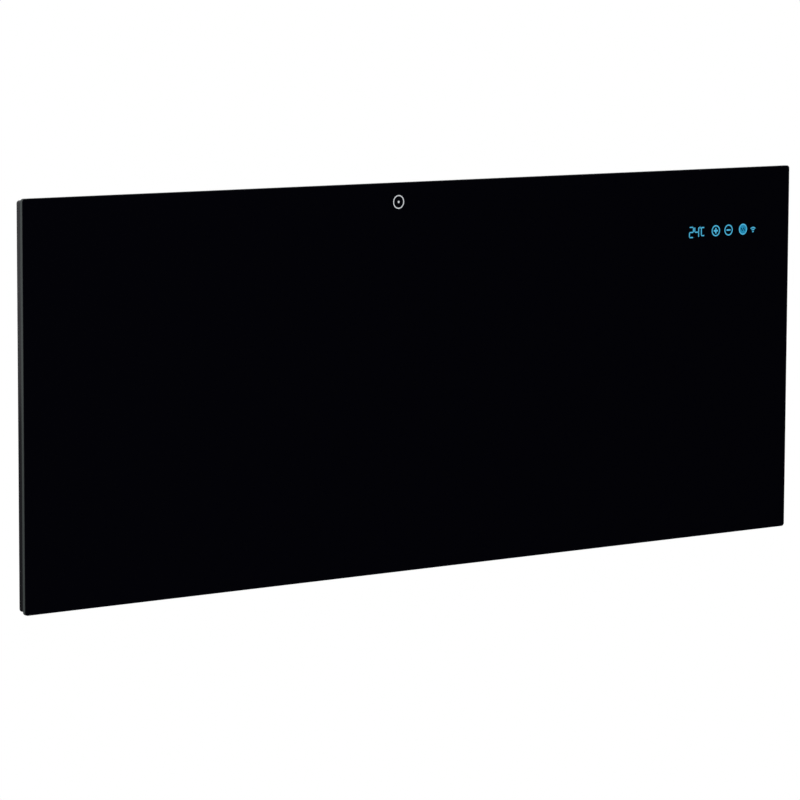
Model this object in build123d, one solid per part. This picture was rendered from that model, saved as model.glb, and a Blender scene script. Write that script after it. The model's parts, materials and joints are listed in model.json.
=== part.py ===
from build123d import *
import math
import os

os.makedirs("parts", exist_ok=True)

# ======================================================================================
# Infrared panel heater: a black glass radiating panel on a folded steel tray, hung on a
# steel wall bracket. Millimetres. +X is right seen from the front, +Z is up, the wall is
# the plane y = 0 and the glass faces -Y. The origin is the middle of the wall screws.
# "out" in the names below is a distance from the wall, so it runs towards -Y.
# ======================================================================================

# ---- small round pieces are prisms with this many sides ------------------------------
FASTENER_SIDES = 8
INNER_SIDES = 12

# ---- glass and the bond behind it ----------------------------------------------------
PANEL_W = 1190.0
PANEL_H = 480.0
GLASS_T = 5.0
GLASS_CORNER_R = 4.0
GLASS_ARRIS = 0.4
BOND_T = 1.0
BOND_W = 9.0
BOND_INSET = 1.5            # bond stays back from the outer edge of the tray flange

# ---- rear tray -----------------------------------------------------------------------
TRAY_DEPTH = 11.0
TRAY_SHEET = 1.0
TRAY_INSET = 2.5            # tray edge back from the glass edge
TRAY_CORNER_R = 3.5
TRAY_FOLD_R = 1.5
TRAY_FLANGE_W = 12.0
BEAD_H = 3.0                # stiffening beads, pressed out of the rear skin
BEAD_W = 22.0
BEAD_SLOPE = 3.0            # how far a bead's side leans in over its height
BEAD_END_MARGIN = 32.0
BEAD_BOX_GAP = 23.0         # between a bead and the control box
BEAD_ROWS = 3
BEAD_PITCH_SHARE = 3 / 16   # pitch of the rows, as a share of the panel's height

# ---- heating stack -------------------------------------------------------------------
STACK_CLEAR = 3.0           # stack to the edge of the tray's front opening
MICA_T = 0.5
FOIL_T = 0.3
REFLECTOR_T = 0.3
STRIP_W = 13.0              # heating strip
STRIP_PITCH = 44.0
STRIP_END_MARGIN = 14.0     # strip to the long edges of the mica
STRIP_SIDE_MARGIN = 22.0    # strip bends to the short edges of the mica
TAB_L = 20.0
TAB_W = 8.0
TAB_T = 0.8
TAB_LAP = 10.0              # how far a tab lies over the end of the strip
TAB_HOLE_R = 1.6
TAB_ROOM = 3.0              # open space round a tab in the sheets behind it
CUTOUT_R = 8.0              # thermal cut-outs
CUTOUT_FLANGE_R = 10.0
CUTOUT_CAP_H = 2.2
CUTOUT_FLANGE_T = 0.8
CUTOUT_BODY_H = 4.2
CUTOUT_POCKET_CLEAR = 3.0
CUTOUT_WAIST = 1.0          # ceramic body smaller than the cap
RIVET_POCKET_CLEAR = 1.0    # rivet tails to their pocket in the insulation
BLADE_T = 0.8               # flat contact blades
BLADE_W = 5.0
BLADE_GAP = 0.8             # blades to the rear skin
LEAD_R = 1.2                # insulated leads from the strip to the terminals
LEAD_SLANT = 0.3            # share of the drop to the window that a lead takes on a slant
LEADS_APART = 4.0           # the left lead turns lower than the right one by this
LEAD_EDGE = 11.0            # lower lead to the right edge of the stack
LEAD_INTO_POCKET = (18.0, 8.0)  # how far the leads run into the pocket, across and up
LEAD_WINDOW_X = 15.0        # leads pass the window this far from its middle
LEAD_OFF_BOARD = 1.2        # leads to the lower edge of the power board
CHANNEL_W = 4.0             # channel for a lead, in the face of the insulation
CHANNEL_DEPTH = 3.0
STUD_AT = (20.0, 12.0)      # earth stud in from the left and down from the top of the pocket
STUD_R = 2.0
STUD_H = 8.0
STUD_SHOULDER = 0.8         # ring tag to the rear skin
STUD_NUT_FLATS = 7.0
STUD_NUT_H = 3.2
TAG_R = 4.0
TAG_L = 12.0
TAG_W = 3.0
TAG_T = 0.8

# ---- touch electronics behind the glass ------------------------------------------------
TOUCH_FROM_RIGHT = 115.0    # middle of the touch row to the right edge of the glass
TOUCH_FROM_TOP = 81.0
TOUCH_W = 150.0
TOUCH_H = 40.0
BOARD_CORNER_R = 2.0
TOUCH_HOLE_IN = (5.0, 4.0)
PCB_T = 1.6
GUIDE_DEPTH = 4.0           # light guide between the glass and the touch board
GUIDE_W = 138.0
GUIDE_H = 26.0
DISPLAY_AT = -47.5          # places along the row, from its middle
KEYS_AT = (-13.9, 8.5, 33.7)
SIGNAL_AT = 51.5            # the wireless light
WIRELESS_AT = (40.0, 6.0)
DISPLAY_W = 31.0
DISPLAY_H = 17.0
DISPLAY_BACK = 0.2          # display to the glass
DIGITS_AT = (-8.75, 0.25)   # the two digits, from the middle of the display
DIGIT_W = 6.8
DIGIT_H = 13.2
DIGIT_STROKE = 1.0
DIGIT_SUNK = 0.5
KEY_R = 7.5
SIGNAL_R = 4.5
WINDOW_CLEAR = 0.3
WIRELESS_W = 24.0
WIRELESS_H = 16.0
WIRELESS_T = 0.8
CAN_W = 16.0                # screening can of the radio
CAN_H = 13.0
CAN_TALL = 2.2
CAN_AT = 2.5
SOCKET_W = 20.0             # ribbon sockets
SOCKET_H = 7.0
SOCKET_TALL = 3.4
SOCKET_DROP = 9.0
RIBBON_W = 16.0
RIBBON_T = 0.9
RIBBON_BEND_R = 1.5

# ---- pocket for them in the upper right corner of the stack ------------------------------
POCKET_SIDE = 7.0           # touch board to the left side of the pocket
POCKET_FOOT = 6.0           # window to the foot of the pocket
POCKET_R = 6.0

# ---- control box on the back -----------------------------------------------------------
BOX_ABOVE_TOUCH = 56.0      # top of the box above the touch row
BOX_W = 170.0
BOX_H = 140.0
BOX_TO_WALL = 6.0
BOX_WALL = 2.2
BOX_R = 8.0
COVER_T = 2.0
COVER_LIP_H = 3.0
COVER_LIP_T = 1.6
COVER_FIT = 0.25
COVER_EDGE = 1.0
POST_R = 4.0
POST_HOLE_R = 1.3
POST_HOLE_DEPTH = 12.0
POST_INSET = 9.0
STAND_R = 3.4               # stands that carry the power board
STAND_IN = (7.0, 6.0)       # stands in from the edges of the power board
TALLEST_TO_COVER = 1.7
LOUVRE_W = 2.4
LOUVRE_PITCH = 6.0
LOUVRE_ROWS = 9
LOUVRE_MIDDLE = 5.5         # half the bridge between the two columns of slots
LOUVRE_SIDE = 33.5          # slots to the sides of the cover
PASS_W = 44.0               # window for the ribbon and the element leads
PASS_H = 20.0
PASS_R = 4.0
PASS_DROP = 27.0            # window's middle below the middle of the touch board
BOARD_SIDE = 13.0           # power board to the sides of the box
BOARD_END = 17.0
BOARD_STAND = 4.0
SCREW_R = 1.5
SCREW_HEAD_R = 2.9
SCREW_HEAD_H = 1.6
SCREW_SUNK = 1.0
COVER_SCREW_L = 10.0
BOARD_SCREW_L = 4.0
SCREW_CLEAR = 0.1

# ---- components on the power board, placed from its middle --------------------------------
RELAY_AT = (-20.0, -22.0)
RELAY_W = 19.0
RELAY_H = 15.5
RELAY_TALL = 14.5
RELAY_EDGE_R = 0.6
CORE_AT = (30.0, 15.0)      # transformer
CORE_APART = 14.0
CORE_W = 22.0
CORE_H = 6.0
CORE_TALL = 14.0
BOBBIN_W = 17.0
BOBBIN_TALL = 12.5
CANS = ((5.0, 24.0, 5.0, 12.5), (-12.0, 24.0, 4.0, 11.0), (52.0, 24.0, 5.0, 12.5))  # place, radius, height
FUSE_AT = (18.0, -8.0)
FUSE_OUT = 3.6              # axis of the fuse above the board
FUSE_R = 2.6
FUSE_L = 20.0
FUSE_CLIPS = 15.0
CLIP_W = 4.0
CLIP_H = 7.0
CLIP_OVER = 1.1             # clips beyond the axis of the fuse

# ---- what sits in the floor of the control box, seen from below -------------------------
SWITCH_FROM_SIDE = 41.0     # middle of the switch to the left side of the box
GLAND_FROM_SIDE = 39.0      # axis of the gland to the right side of the box
GLAND_THREAD_R = 8.0
GLAND_RIM = 2.0             # half the flats of the flange beyond the thread
GLAND_ROOM = 3.0            # flats of the gland to the planes of tray and cover
GLAND_FLANGE_H = 4.5
GLAND_NECK_LESS = 0.4       # neck smaller than the thread
GLAND_NUT_H = 14.0
GLAND_NUT_GAP = 0.6         # nut to flange
GLAND_SHOULDER = 4.0        # closed end of the nut, against which the seal is squeezed
GLAND_NECK_GAP = 1.6        # neck to that end
GLAND_NUT_LESS = 0.5        # half the flats of the nut inside those of the flange
GLAND_NOSE_R = (0.2, 2.1)   # both ends of the nose inside half the flats of the nut
GLAND_GRIP_SHARE = 0.55     # hexagon's share of the nut
GLAND_SEAL_GAP = 1.2        # seal to the bottom of its pocket
GLAND_THREAD_IN = 8.0
LOCKNUT_RIM = 1.5
LOCKNUT_H = 3.5
SEAL_LESS = 1.8             # seal smaller than the thread
SEAL_WALL = 2.0
SEAL_WAIST = 1.2
LIP_CLEAR = 1.0             # cover lip to the gland's locknut
THREAD_CLEAR = 0.05
SWITCH_L = 21.0
SWITCH_W = 15.0
SWITCH_BEZEL_H = 1.8
SWITCH_BEZEL_EDGE = 0.5
SWITCH_BODY_DEPTH = 14.0
SWITCH_WALL = 1.5
SWITCH_WELL_WALL = 1.2
SWITCH_END_WALL = 0.65      # wall beyond each end of the rocker
SWITCH_BLADE_PITCH = 6.0
SWITCH_BLADE_L = 8.0
SWITCH_FLOOR = 3.0
JOIN = 0.2                  # how far a piece runs into the one that it is fused to
ROCKER_DEPTH = 1.2          # rocker's axis above the floor of the box
ROCKER_SWING = 11.0         # degrees each side of level
ROCKER_BACK_LEAN = 3.0      # degrees that its back leans beyond the swing
ROCKER_BACK = 3.0           # axis to the middle of its back, inside the switch
ROCKER_FACE = 4.5           # axis to its flat face
ROCKER_GAP = 0.35
ROCKER_PIN_R = 1.2
ROCKER_PIN_L = 0.8
ROCKER_PIN_FIT = 0.06
SENSOR_R = 5.0
SENSOR_PROUD = 6.0
SENSOR_SKIN = 1.2
SENSOR_RIM_R = 6.5
SENSOR_RIM_T = 1.0
SENSOR_SLOT_W = 1.2
SENSOR_SLOT_L = 2.6
SENSOR_SLOT_AT = 3.4        # middle of the slots below the box
SENSOR_EDGE = 1.0
SENSOR_SHANK_IN = 2.0
THERMISTOR_R = 1.7          # bead of the sensor, on a thin stem
THERMISTOR_AT = 1.6         # top of the bead below the box
STEM_R = 0.9
STEM_L = 6.0
TERMINAL_PITCH = 9.5
TERMINAL_H = 12.0
TERMINAL_DEPTH = 13.0
TERMINAL_FROM_GLAND = 6.0
TERMINAL_FROM_FLOOR = 34.0
TERMINAL_SCREW_R = 2.4
TERMINAL_SUNK = 2.0
TERMINAL_MOUTH_DEPTH = 5.0
TERMINAL_MOUTH_W = 5.5
TERMINAL_MOUTH_OUT = 5.0    # middle of a wire's mouth above the board

# ---- wall bracket ----------------------------------------------------------------------
SCREW_FROM_EDGE = 80.0      # rows of wall screws to the long edges of the panel
RAIL_TO_BOX = 65.0          # end of a rail to the control box
SCREW_FROM_END = 70.0       # wall screw to the end of a rail
SCREW_SLOT_W = 7.0
SCREW_SLOT_L = 16.0
RAIL_T = 2.0
RAIL_FLANGE = 40.0          # height of the flange against the wall
RAIL_TO_TRAY = 10.0         # front face of a rail's lip to the tray
RAIL_BEND_R = 2.0
LOWER_LIP_H = 28.0
UPRIGHT_FROM_END = 30.0
UPRIGHT_W = 34.0
UPRIGHT_T = 1.5
UPRIGHT_SIDE = 8.0
UPRIGHT_END_GAP = 6.0       # end of an upright to the web of a rail
UPRIGHT_SLOT_SHARE = 0.45   # length of a slot, as a share of half the free height
UPRIGHT_SLOT_PITCH = 0.66
UPRIGHT_SLOT_W = 12.0
UPRIGHT_RIVETS_APART = 16.0
UPRIGHT_RIVETS_UP = 2.0     # above the row of wall screws
UPRIGHT_BEND_R = 1.5
RIVET_R = 2.0
RIVET_HEAD_R = 4.0
RIVET_HEAD_H = 1.2
RIVET_TAIL_BACK = 0.2       # tail of a bracket rivet to the wall

# ---- hangers on the tray ---------------------------------------------------------------
HANGER_FROM_UPRIGHT = 100.0
HANGER_W = 60.0
HANGER_T = 2.0
HANGER_BEND_R = 1.0
HANGER_PLATE = 46.0         # height of the plate that lies on the tray
HANGER_RIVETS_X = (-18.0, 18.0)
HANGER_RIVETS_Z = (-14.0, 4.0)
HOOK_DROP = 12.0            # hook lip below the hook's web
HOOK_GAP = 0.5              # hook lip to rail lip
HOOK_OVER_WEB = 2.0         # hook lip above the rail's web
REST_GAP = 0.3              # hook's web above the notch that carries it
NOTCH_DEPTH = 3.0
NOTCH_SIDE = 1.0

# ---- turn latches on the lower rail ----------------------------------------------------
LATCH_FROM_UPRIGHT = 70.0
LATCH_T = 2.0
LATCH_GAP = 0.3
LATCH_PIVOT_DROP = 16.0     # pivot below the rail's web
LATCH_BOSS_R = 9.0
LATCH_TONGUE_W = 8.0
LATCH_HANDLE_L = 36.0
LATCH_HANDLE_W = 12.0
LATCH_CORNER_R = 2.0
LATCH_TAB_H = 5.0
LATCH_TAB_BACK = 2.0        # finger tab in from the end of the handle
PIVOT_R = 3.0
PIVOT_FIT = 0.06
PIVOT_HEAD_R = 5.5
PIVOT_HEAD_H = 1.4
PIVOT_TAIL_R = 4.6
CATCH_T = 1.5
CATCH_BEND_R = 1.0
CATCH_W = 26.0
CATCH_CLEAR = 4.0           # catch to the boss of the latch
CATCH_HOLD = 11.0           # length of the locked tongue over the catch
CATCH_PLATE = 24.0
CATCH_RIVET_IN = 6.0        # rivets in from the ends of a catch
CATCH_RIVET_UP = 8.0
CATCH_GAP = 1.2             # locked tongue above the catch
CATCH_BACK_GAP = 0.8        # catch to the rail lip

# ---- rubber bumpers --------------------------------------------------------------------
BUMPER_FROM_LATCH = 110.0
BUMPER_R = 9.0
BUMPER_EDGE = 1.5
BUMPER_GAP = 0.4

# ---- worked out: the control box is as deep as its gland and its tallest part need ----------
GLAND_FLATS = 2 * (GLAND_THREAD_R + GLAND_RIM)
LOCKNUT_FLATS = 2 * (GLAND_THREAD_R + LOCKNUT_RIM)
SEAL_R = GLAND_THREAD_R - SEAL_LESS
GLAND_BORE_R = SEAL_R - SEAL_WALL
DEPTH_FOR_GLAND = GLAND_FLATS + 2 * GLAND_ROOM
DEPTH_FOR_BOARD = BOX_WALL + BOARD_STAND + PCB_T + RELAY_TALL + TALLEST_TO_COVER + COVER_T
BOX_DEPTH = max(DEPTH_FOR_GLAND, DEPTH_FOR_BOARD)
WALL_GAP = BOX_DEPTH + BOX_TO_WALL

# ---- worked out: the layers from the wall to the glass -------------------------------------
SKIN_IN = WALL_GAP + TRAY_SHEET
FLANGE_FACE = WALL_GAP + TRAY_DEPTH
GLASS_BACK = FLANGE_FACE + BOND_T
GLASS_FRONT = GLASS_BACK + GLASS_T
TRAY_W = PANEL_W - 2 * TRAY_INSET
TRAY_H = PANEL_H - 2 * TRAY_INSET
STACK_W = TRAY_W - 2 * (TRAY_FLANGE_W + STACK_CLEAR)
STACK_H = TRAY_H - 2 * (TRAY_FLANGE_W + STACK_CLEAR)
MICA_FRONT_BACK = GLASS_BACK - MICA_T
FOIL_BACK = MICA_FRONT_BACK - FOIL_T
MICA_REAR_BACK = FOIL_BACK - MICA_T
REFLECTOR_BACK = MICA_REAR_BACK - REFLECTOR_T
LEAD_OUT = FOIL_BACK - TAB_T - LEAD_R * math.cos(math.pi / 6)
CUTOUT_X = PANEL_W / 4
BEAD_PITCH = PANEL_H * BEAD_PITCH_SHARE
STRIP_ROWS = 2 * int(((STACK_H - 2 * STRIP_END_MARGIN - STRIP_W) / STRIP_PITCH + 1) / 2)

# ---- worked out: touch row, pocket and control box -----------------------------------------
TOUCH_X = PANEL_W / 2 - TOUCH_FROM_RIGHT
TOUCH_Z = PANEL_H / 2 - TOUCH_FROM_TOP
TOUCH_FRONT = GLASS_BACK - GUIDE_DEPTH
TOUCH_BACK = TOUCH_FRONT - PCB_T
DISPLAY_X = TOUCH_X + DISPLAY_AT
DIGITS_X = tuple(DISPLAY_X + step for step in DIGITS_AT)
KEY_XS = tuple(TOUCH_X + step for step in KEYS_AT)
SIGNAL_X = TOUCH_X + SIGNAL_AT
PASS_Z = TOUCH_Z - PASS_DROP
POCKET_LEFT = TOUCH_X - TOUCH_W / 2 - POCKET_SIDE
POCKET_BOTTOM = PASS_Z - PASS_H / 2 - POCKET_FOOT
BOX_X = TOUCH_X
BOX_Z = TOUCH_Z + BOX_ABOVE_TOUCH - BOX_H / 2
BOX_LEFT = BOX_X - BOX_W / 2
BOX_BOTTOM = BOX_Z - BOX_H / 2
BOX_BACK = WALL_GAP - BOX_DEPTH
BOX_FLOOR = WALL_GAP - BOX_WALL
COVER_FACE = BOX_BACK + COVER_T
BOARD_W = BOX_W - 2 * BOARD_SIDE
BOARD_H = BOX_H - 2 * BOARD_END
BOARD_FRONT = BOX_FLOOR - BOARD_STAND
BOARD_BACK = BOARD_FRONT - PCB_T
BOARD_SOCKET_Z = PASS_Z - PASS_H / 2 - SOCKET_H
LOUVRE_L = BOX_W / 2 - LOUVRE_SIDE - LOUVRE_MIDDLE
UNDER_OUT = (BOX_FLOOR + COVER_FACE) / 2
SWITCH_X = BOX_LEFT + SWITCH_FROM_SIDE
SWITCH_BODY_L = SWITCH_L - 2 * SWITCH_WALL
SWITCH_BODY_W = SWITCH_W - 2 * SWITCH_WALL
SWITCH_WELL_W = SWITCH_BODY_W - 2 * SWITCH_WELL_WALL
ROCKER_END_R = SWITCH_BODY_L / 2 - SWITCH_END_WALL - ROCKER_GAP
GLAND_X = BOX_X + BOX_W / 2 - GLAND_FROM_SIDE
SENSOR_X = (SWITCH_X + GLAND_X) / 2
TERMINAL_X = GLAND_X - TERMINAL_FROM_GLAND
TERMINAL_Z = BOX_BOTTOM + TERMINAL_FROM_FLOOR

# ---- worked out: bracket, hooks and latches --------------------------------------------------
SCREW_SPACING_Z = PANEL_H - 2 * SCREW_FROM_EDGE
RAIL_L = 2 * (BOX_LEFT - RAIL_TO_BOX)
SCREW_SPACING_X = RAIL_L - 2 * SCREW_FROM_END
RAIL_REACH = WALL_GAP - RAIL_TO_TRAY
RAIL_Z = SCREW_SPACING_Z / 2
RAIL_WEB = RAIL_Z + RAIL_FLANGE / 2
UPRIGHT_X = RAIL_L / 2 - UPRIGHT_FROM_END
HANGER_X = UPRIGHT_X - HANGER_FROM_UPRIGHT
HOOK_LIP_END = RAIL_WEB + HOOK_OVER_WEB
HOOK_WEB_UNDER = HOOK_LIP_END + HOOK_DROP
HANGER_FOOT = HOOK_WEB_UNDER + HANGER_T - HANGER_PLATE
NOTCH_FLOOR = HOOK_WEB_UNDER - REST_GAP
UPPER_LIP_H = NOTCH_FLOOR + NOTCH_DEPTH - RAIL_WEB
LATCH_X = UPRIGHT_X - LATCH_FROM_UPRIGHT
LATCH_Z = -RAIL_WEB - LATCH_PIVOT_DROP
LATCH_NEAR = RAIL_REACH + LATCH_GAP
LATCH_FAR = LATCH_NEAR + LATCH_T
CATCH_START = LATCH_BOSS_R + CATCH_CLEAR
LATCH_TONGUE_L = CATCH_START + CATCH_HOLD
CATCH_TOP = LATCH_Z - LATCH_TONGUE_W / 2 - CATCH_GAP
BUMPER_X = LATCH_X - BUMPER_FROM_LATCH


# ======================================================================================
# Helpers
# ======================================================================================
def plate(outline, near, far):
    """A sheet with an outline drawn in the front view, between two distances from the wall."""
    return extrude(Plane.XZ.offset(near) * outline, amount=far - near)


def spot(x, z):
    """A place in the front view, for an outline that is passed to plate()."""
    return Pos(x, z)


def disc(x, z, radius, near, far):
    return plate(spot(x, z) * Circle(radius), near, far)


def folded(points, thickness, bend_r, width, x_mid):
    """A strip folded along X. Points are (out, z) corners of the middle of its thickness."""
    corners = [(x_mid, -out, z) for out, z in points]
    path = FilletPolyline(*corners, radius=bend_r + thickness / 2)
    start = Plane(origin=path @ 0, x_dir=(1, 0, 0), z_dir=path % 0)
    return sweep(start * Rectangle(width, thickness), path=path)


def four_corners(x, z, half_w, half_h):
    """The corners of a rectangle about (x, z)."""
    return [(x + dx * half_w, z + dz * half_h) for dx in (-1, 1) for dz in (-1, 1)]


def below(x, z):
    """A plane that looks down at (x, z), in the middle of the control box's depth."""
    return Plane(origin=(x, -UNDER_OUT, z), x_dir=(1, 0, 0), z_dir=(0, 0, -1))


def facet_disc(x, z, radius, near, far, sides=FASTENER_SIDES):
    """A short prism that stands for a small round fastener, its hole or a hidden round piece."""
    return plate(spot(x, z) * RegularPolygon(radius, sides), near, far)


def cutter(outline, near, far):
    """A plate for a cut right through what lies between two distances from the wall."""
    return plate(outline, near - 1, far + 1)


def rivet(x, z, seat, tail, towards_wall=True):
    """A plain rivet: its head on the seat and its shank ending at the tail."""
    side = -1 if towards_wall else 1
    near, far = sorted((seat, tail))
    head_near, head_far = sorted((seat, seat + side * RIVET_HEAD_H))
    head = facet_disc(x, z, RIVET_HEAD_R, head_near, head_far)
    return head + facet_disc(x, z, RIVET_R, near, far)


def group(pieces):
    return Compound(children=list(pieces))


# ======================================================================================
# Glass, bond and tray
# ======================================================================================
def front_glass():
    """Toughened black glass with ground edges and small rounded corners."""
    sheet = plate(RectangleRounded(PANEL_W, PANEL_H, GLASS_CORNER_R), GLASS_BACK, GLASS_FRONT)
    rims = sheet.faces().sort_by(Axis.Y)
    return chamfer(rims[0].edges() + rims[-1].edges(), GLASS_ARRIS)


def glass_bond():
    """A bead of silicone between the tray's front flange and the glass."""
    width, height = TRAY_W - 2 * BOND_INSET, TRAY_H - 2 * BOND_INSET
    outer = RectangleRounded(width, height, TRAY_CORNER_R)
    inner = RectangleRounded(width - 2 * BOND_W, height - 2 * BOND_W, TRAY_CORNER_R)
    return plate(outer - inner, FLANGE_FACE, GLASS_BACK)


def bead(x, z, length, width, base, top):
    """A pressed bead: a slot-shaped ridge with sloping sides."""
    lean = 2 * BEAD_SLOPE
    foot = Plane.XZ.offset(base) * spot(x, z) * SlotOverall(length, width)
    crest = Plane.XZ.offset(top) * spot(x, z) * SlotOverall(length - lean, width - lean)
    return loft([foot.face(), crest.face()])


def bead_places():
    """(x, z, length) of every bead: long rows across the rear skin that stop at the control box."""
    left, right = TRAY_W / -2 + BEAD_END_MARGIN, TRAY_W / 2 - BEAD_END_MARGIN
    for row in range(BEAD_ROWS):
        z = (row - (BEAD_ROWS - 1) / 2) * BEAD_PITCH
        end = BOX_LEFT - BEAD_BOX_GAP if z + BEAD_W > BOX_BOTTOM else right
        yield (left + end) / 2, z, end - left


def pass_window():
    """Outline of the window that joins the tray and the control box."""
    return spot(TOUCH_X, PASS_Z) * RectangleRounded(PASS_W, PASS_H, PASS_R)


def rear_tray():
    """A folded pan: rear skin with pressed beads, shallow sides and a front flange."""
    pan = plate(RectangleRounded(TRAY_W, TRAY_H, TRAY_CORNER_R), WALL_GAP, FLANGE_FACE)
    pan = fillet(pan.faces().sort_by(Axis.Y)[-1].edges(), TRAY_FOLD_R)
    room_w, room_h = TRAY_W - 2 * TRAY_SHEET, TRAY_H - 2 * TRAY_SHEET
    room = RectangleRounded(room_w, room_h, TRAY_CORNER_R - TRAY_SHEET)
    pan -= plate(room, SKIN_IN, FLANGE_FACE - TRAY_SHEET)
    mouth_w, mouth_h = TRAY_W - 2 * TRAY_FLANGE_W, TRAY_H - 2 * TRAY_FLANGE_W
    mouth = RectangleRounded(mouth_w, mouth_h, TRAY_CORNER_R)
    pan -= plate(mouth, SKIN_IN + TRAY_SHEET, FLANGE_FACE + 1)
    for x, z, length in bead_places():
        pan += bead(x, z, length, BEAD_W, WALL_GAP, WALL_GAP - BEAD_H)
    inside = 2 * TRAY_SHEET
    for x, z, length in bead_places():
        pan -= bead(x, z, length - inside, BEAD_W - inside, SKIN_IN, SKIN_IN - BEAD_H)
    pan -= cutter(pass_window(), WALL_GAP, SKIN_IN)
    for x, z in hanger_rivet_places() + catch_rivet_places():
        pan -= facet_disc(x, z, RIVET_R, WALL_GAP - 1, SKIN_IN + 1)
    return pan


# ======================================================================================
# Heating stack
# ======================================================================================
def stack_outline():
    """The stack's sheets fill the tray's mouth, without the corner for the electronics."""
    sheet = RectangleRounded(STACK_W, STACK_H, TRAY_CORNER_R)
    right, top = STACK_W / 2, STACK_H / 2
    width, height = right - POCKET_LEFT + POCKET_R, top - POCKET_BOTTOM + POCKET_R
    corner = spot(POCKET_LEFT + width / 2, POCKET_BOTTOM + height / 2)
    return sheet - corner * RectangleRounded(width, height, POCKET_R)


def strip_rows():
    """(z, right end) of every row of the heating strip, from the bottom up."""
    first = -(STRIP_ROWS - 1) / 2 * STRIP_PITCH
    full = STACK_W / 2 - STRIP_SIDE_MARGIN - STRIP_PITCH / 2
    short = POCKET_LEFT - STRIP_SIDE_MARGIN - STRIP_PITCH / 2
    for row in range(STRIP_ROWS):
        # an odd row and the one above it are joined on the right, so they end at one place
        upper_of_pair = first + (row + row % 2) * STRIP_PITCH
        beside_pocket = upper_of_pair + STRIP_PITCH / 2 > POCKET_BOTTOM
        yield first + row * STRIP_PITCH, short if beside_pocket else full


def heating_strip():
    """One resistance strip that runs to and fro over the whole sheet with round turns."""
    left = -(STACK_W / 2 - STRIP_SIDE_MARGIN - STRIP_PITCH / 2)
    rows = list(strip_rows())
    middle = (MICA_FRONT_BACK + FOIL_BACK) / 2
    lines = []
    for row, (z, right) in enumerate(rows):
        ends = [(right, z), (left, z)] if row % 2 == 0 else [(left, z), (right, z)]
        lines.append(Line(*ends))
        if row + 1 < len(rows):
            half = STRIP_PITCH / 2
            x = ends[1][0]
            bulge = -half if row % 2 == 0 else half
            lines.append(ThreePointArc((x, z), (x + bulge, z + half), (x, z + STRIP_PITCH)))
    path = Plane.XZ.offset(middle) * Wire(Curve() + lines)
    section = Plane(origin=path @ 0, x_dir=(0, 1, 0), z_dir=path % 0) * Rectangle(FOIL_T, STRIP_W)
    return sweep(section, path=path)


def strip_tabs():
    """Terminal tabs on the two ends of the strip, in notches of the rear mica."""
    rows = list(strip_rows())
    for z, right in (rows[0], rows[-1]):
        x = right - TAB_LAP + TAB_L / 2
        yield x, z


def element_tabs():
    tabs = []
    for x, z in strip_tabs():
        near = FOIL_BACK - TAB_T
        tab = plate(spot(x, z) * Rectangle(TAB_L, TAB_W), near, FOIL_BACK)
        tabs.append(tab - facet_disc(x + TAB_L / 4, z, TAB_HOLE_R, near - 1, FOIL_BACK + 1))
    return group(tabs)


def tab_notches(near, far):
    """Room round the tabs, cut through the sheets behind the strip."""
    width, height = TAB_L + 2 * TAB_ROOM, TAB_W + 2 * TAB_ROOM
    notches = [plate(spot(x, z) * Rectangle(width, height), near, far) for x, z in strip_tabs()]
    return Part() + notches


def lead_starts():
    """Points (x, out, z) of the stretch of each lead that lies in the insulation."""
    (low_x, low_z), (high_x, high_z) = strip_tabs()
    edge_x = STACK_W / 2 - LEAD_EDGE
    across, up = LEAD_INTO_POCKET
    lower = [(low_x, LEAD_OUT, low_z), (edge_x, LEAD_OUT, low_z), (edge_x, LEAD_OUT, POCKET_BOTTOM + up)]
    upper = [(high_x, LEAD_OUT, high_z), (POCKET_LEFT + across, LEAD_OUT, high_z)]
    return lower, upper


def lead_channels():
    """Channels that hold the leads, cut into the face of the insulation."""
    lower, upper = lead_starts()
    lines = [Polyline(*[(x, z) for x, out, z in route]) for route in (lower, upper)]
    outline = Sketch() + [trace(line, CHANNEL_W) for line in lines]
    return plate(outline, REFLECTOR_BACK - CHANNEL_DEPTH, REFLECTOR_BACK + 1)


def lead_rest(start, side):
    """From the stack down behind the touch board, through the window to a terminal."""
    behind = (SKIN_IN + TOUCH_BACK) / 2
    gap = (BOX_FLOOR + BOARD_FRONT) / 2
    turn_z = BOX_Z - BOARD_H / 2 - 2 * LEAD_R - LEAD_OFF_BOARD
    if side < 0:
        turn_z -= LEADS_APART
    mouth = BOARD_BACK - TERMINAL_MOUTH_OUT
    window_x = TOUCH_X + side * LEAD_WINDOW_X
    terminal_x = TERMINAL_X + side * TERMINAL_PITCH
    corner_x, out, end_z = start[-1]
    points = list(start)
    points.append((corner_x, behind, end_z + (PASS_Z - end_z) * LEAD_SLANT))
    points.append((corner_x, behind, PASS_Z))
    points.append((window_x, behind, PASS_Z))
    points.append((window_x, gap, PASS_Z))
    points.append((window_x, gap, turn_z))
    points.append((terminal_x, gap, turn_z))
    points.append((terminal_x, mouth, turn_z))
    points.append((terminal_x, mouth, TERMINAL_Z - TERMINAL_H / 2 + TERMINAL_MOUTH_DEPTH))
    return points


def element_leads():
    """Two insulated leads, kept plain: six-sided sleeves with mitred corners."""
    lower, upper = lead_starts()
    leads = []
    for route in (lead_rest(lower, 1), lead_rest(upper, -1)):
        path = Polyline(*[(x, -out, z) for x, out, z in route])
        start = Plane(origin=path @ 0, x_dir=(0, 0, 1), z_dir=path % 0)
        section = start * RegularPolygon(LEAD_R, 6)
        leads.append(sweep(section, path=path, transition=Transition.RIGHT))
    return group(leads)


def front_mica():
    return plate(stack_outline(), MICA_FRONT_BACK, GLASS_BACK)


def rear_mica():
    sheet = plate(stack_outline(), MICA_REAR_BACK, FOIL_BACK)
    return sheet - tab_notches(MICA_REAR_BACK - 1, FOIL_BACK + 1)


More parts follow.
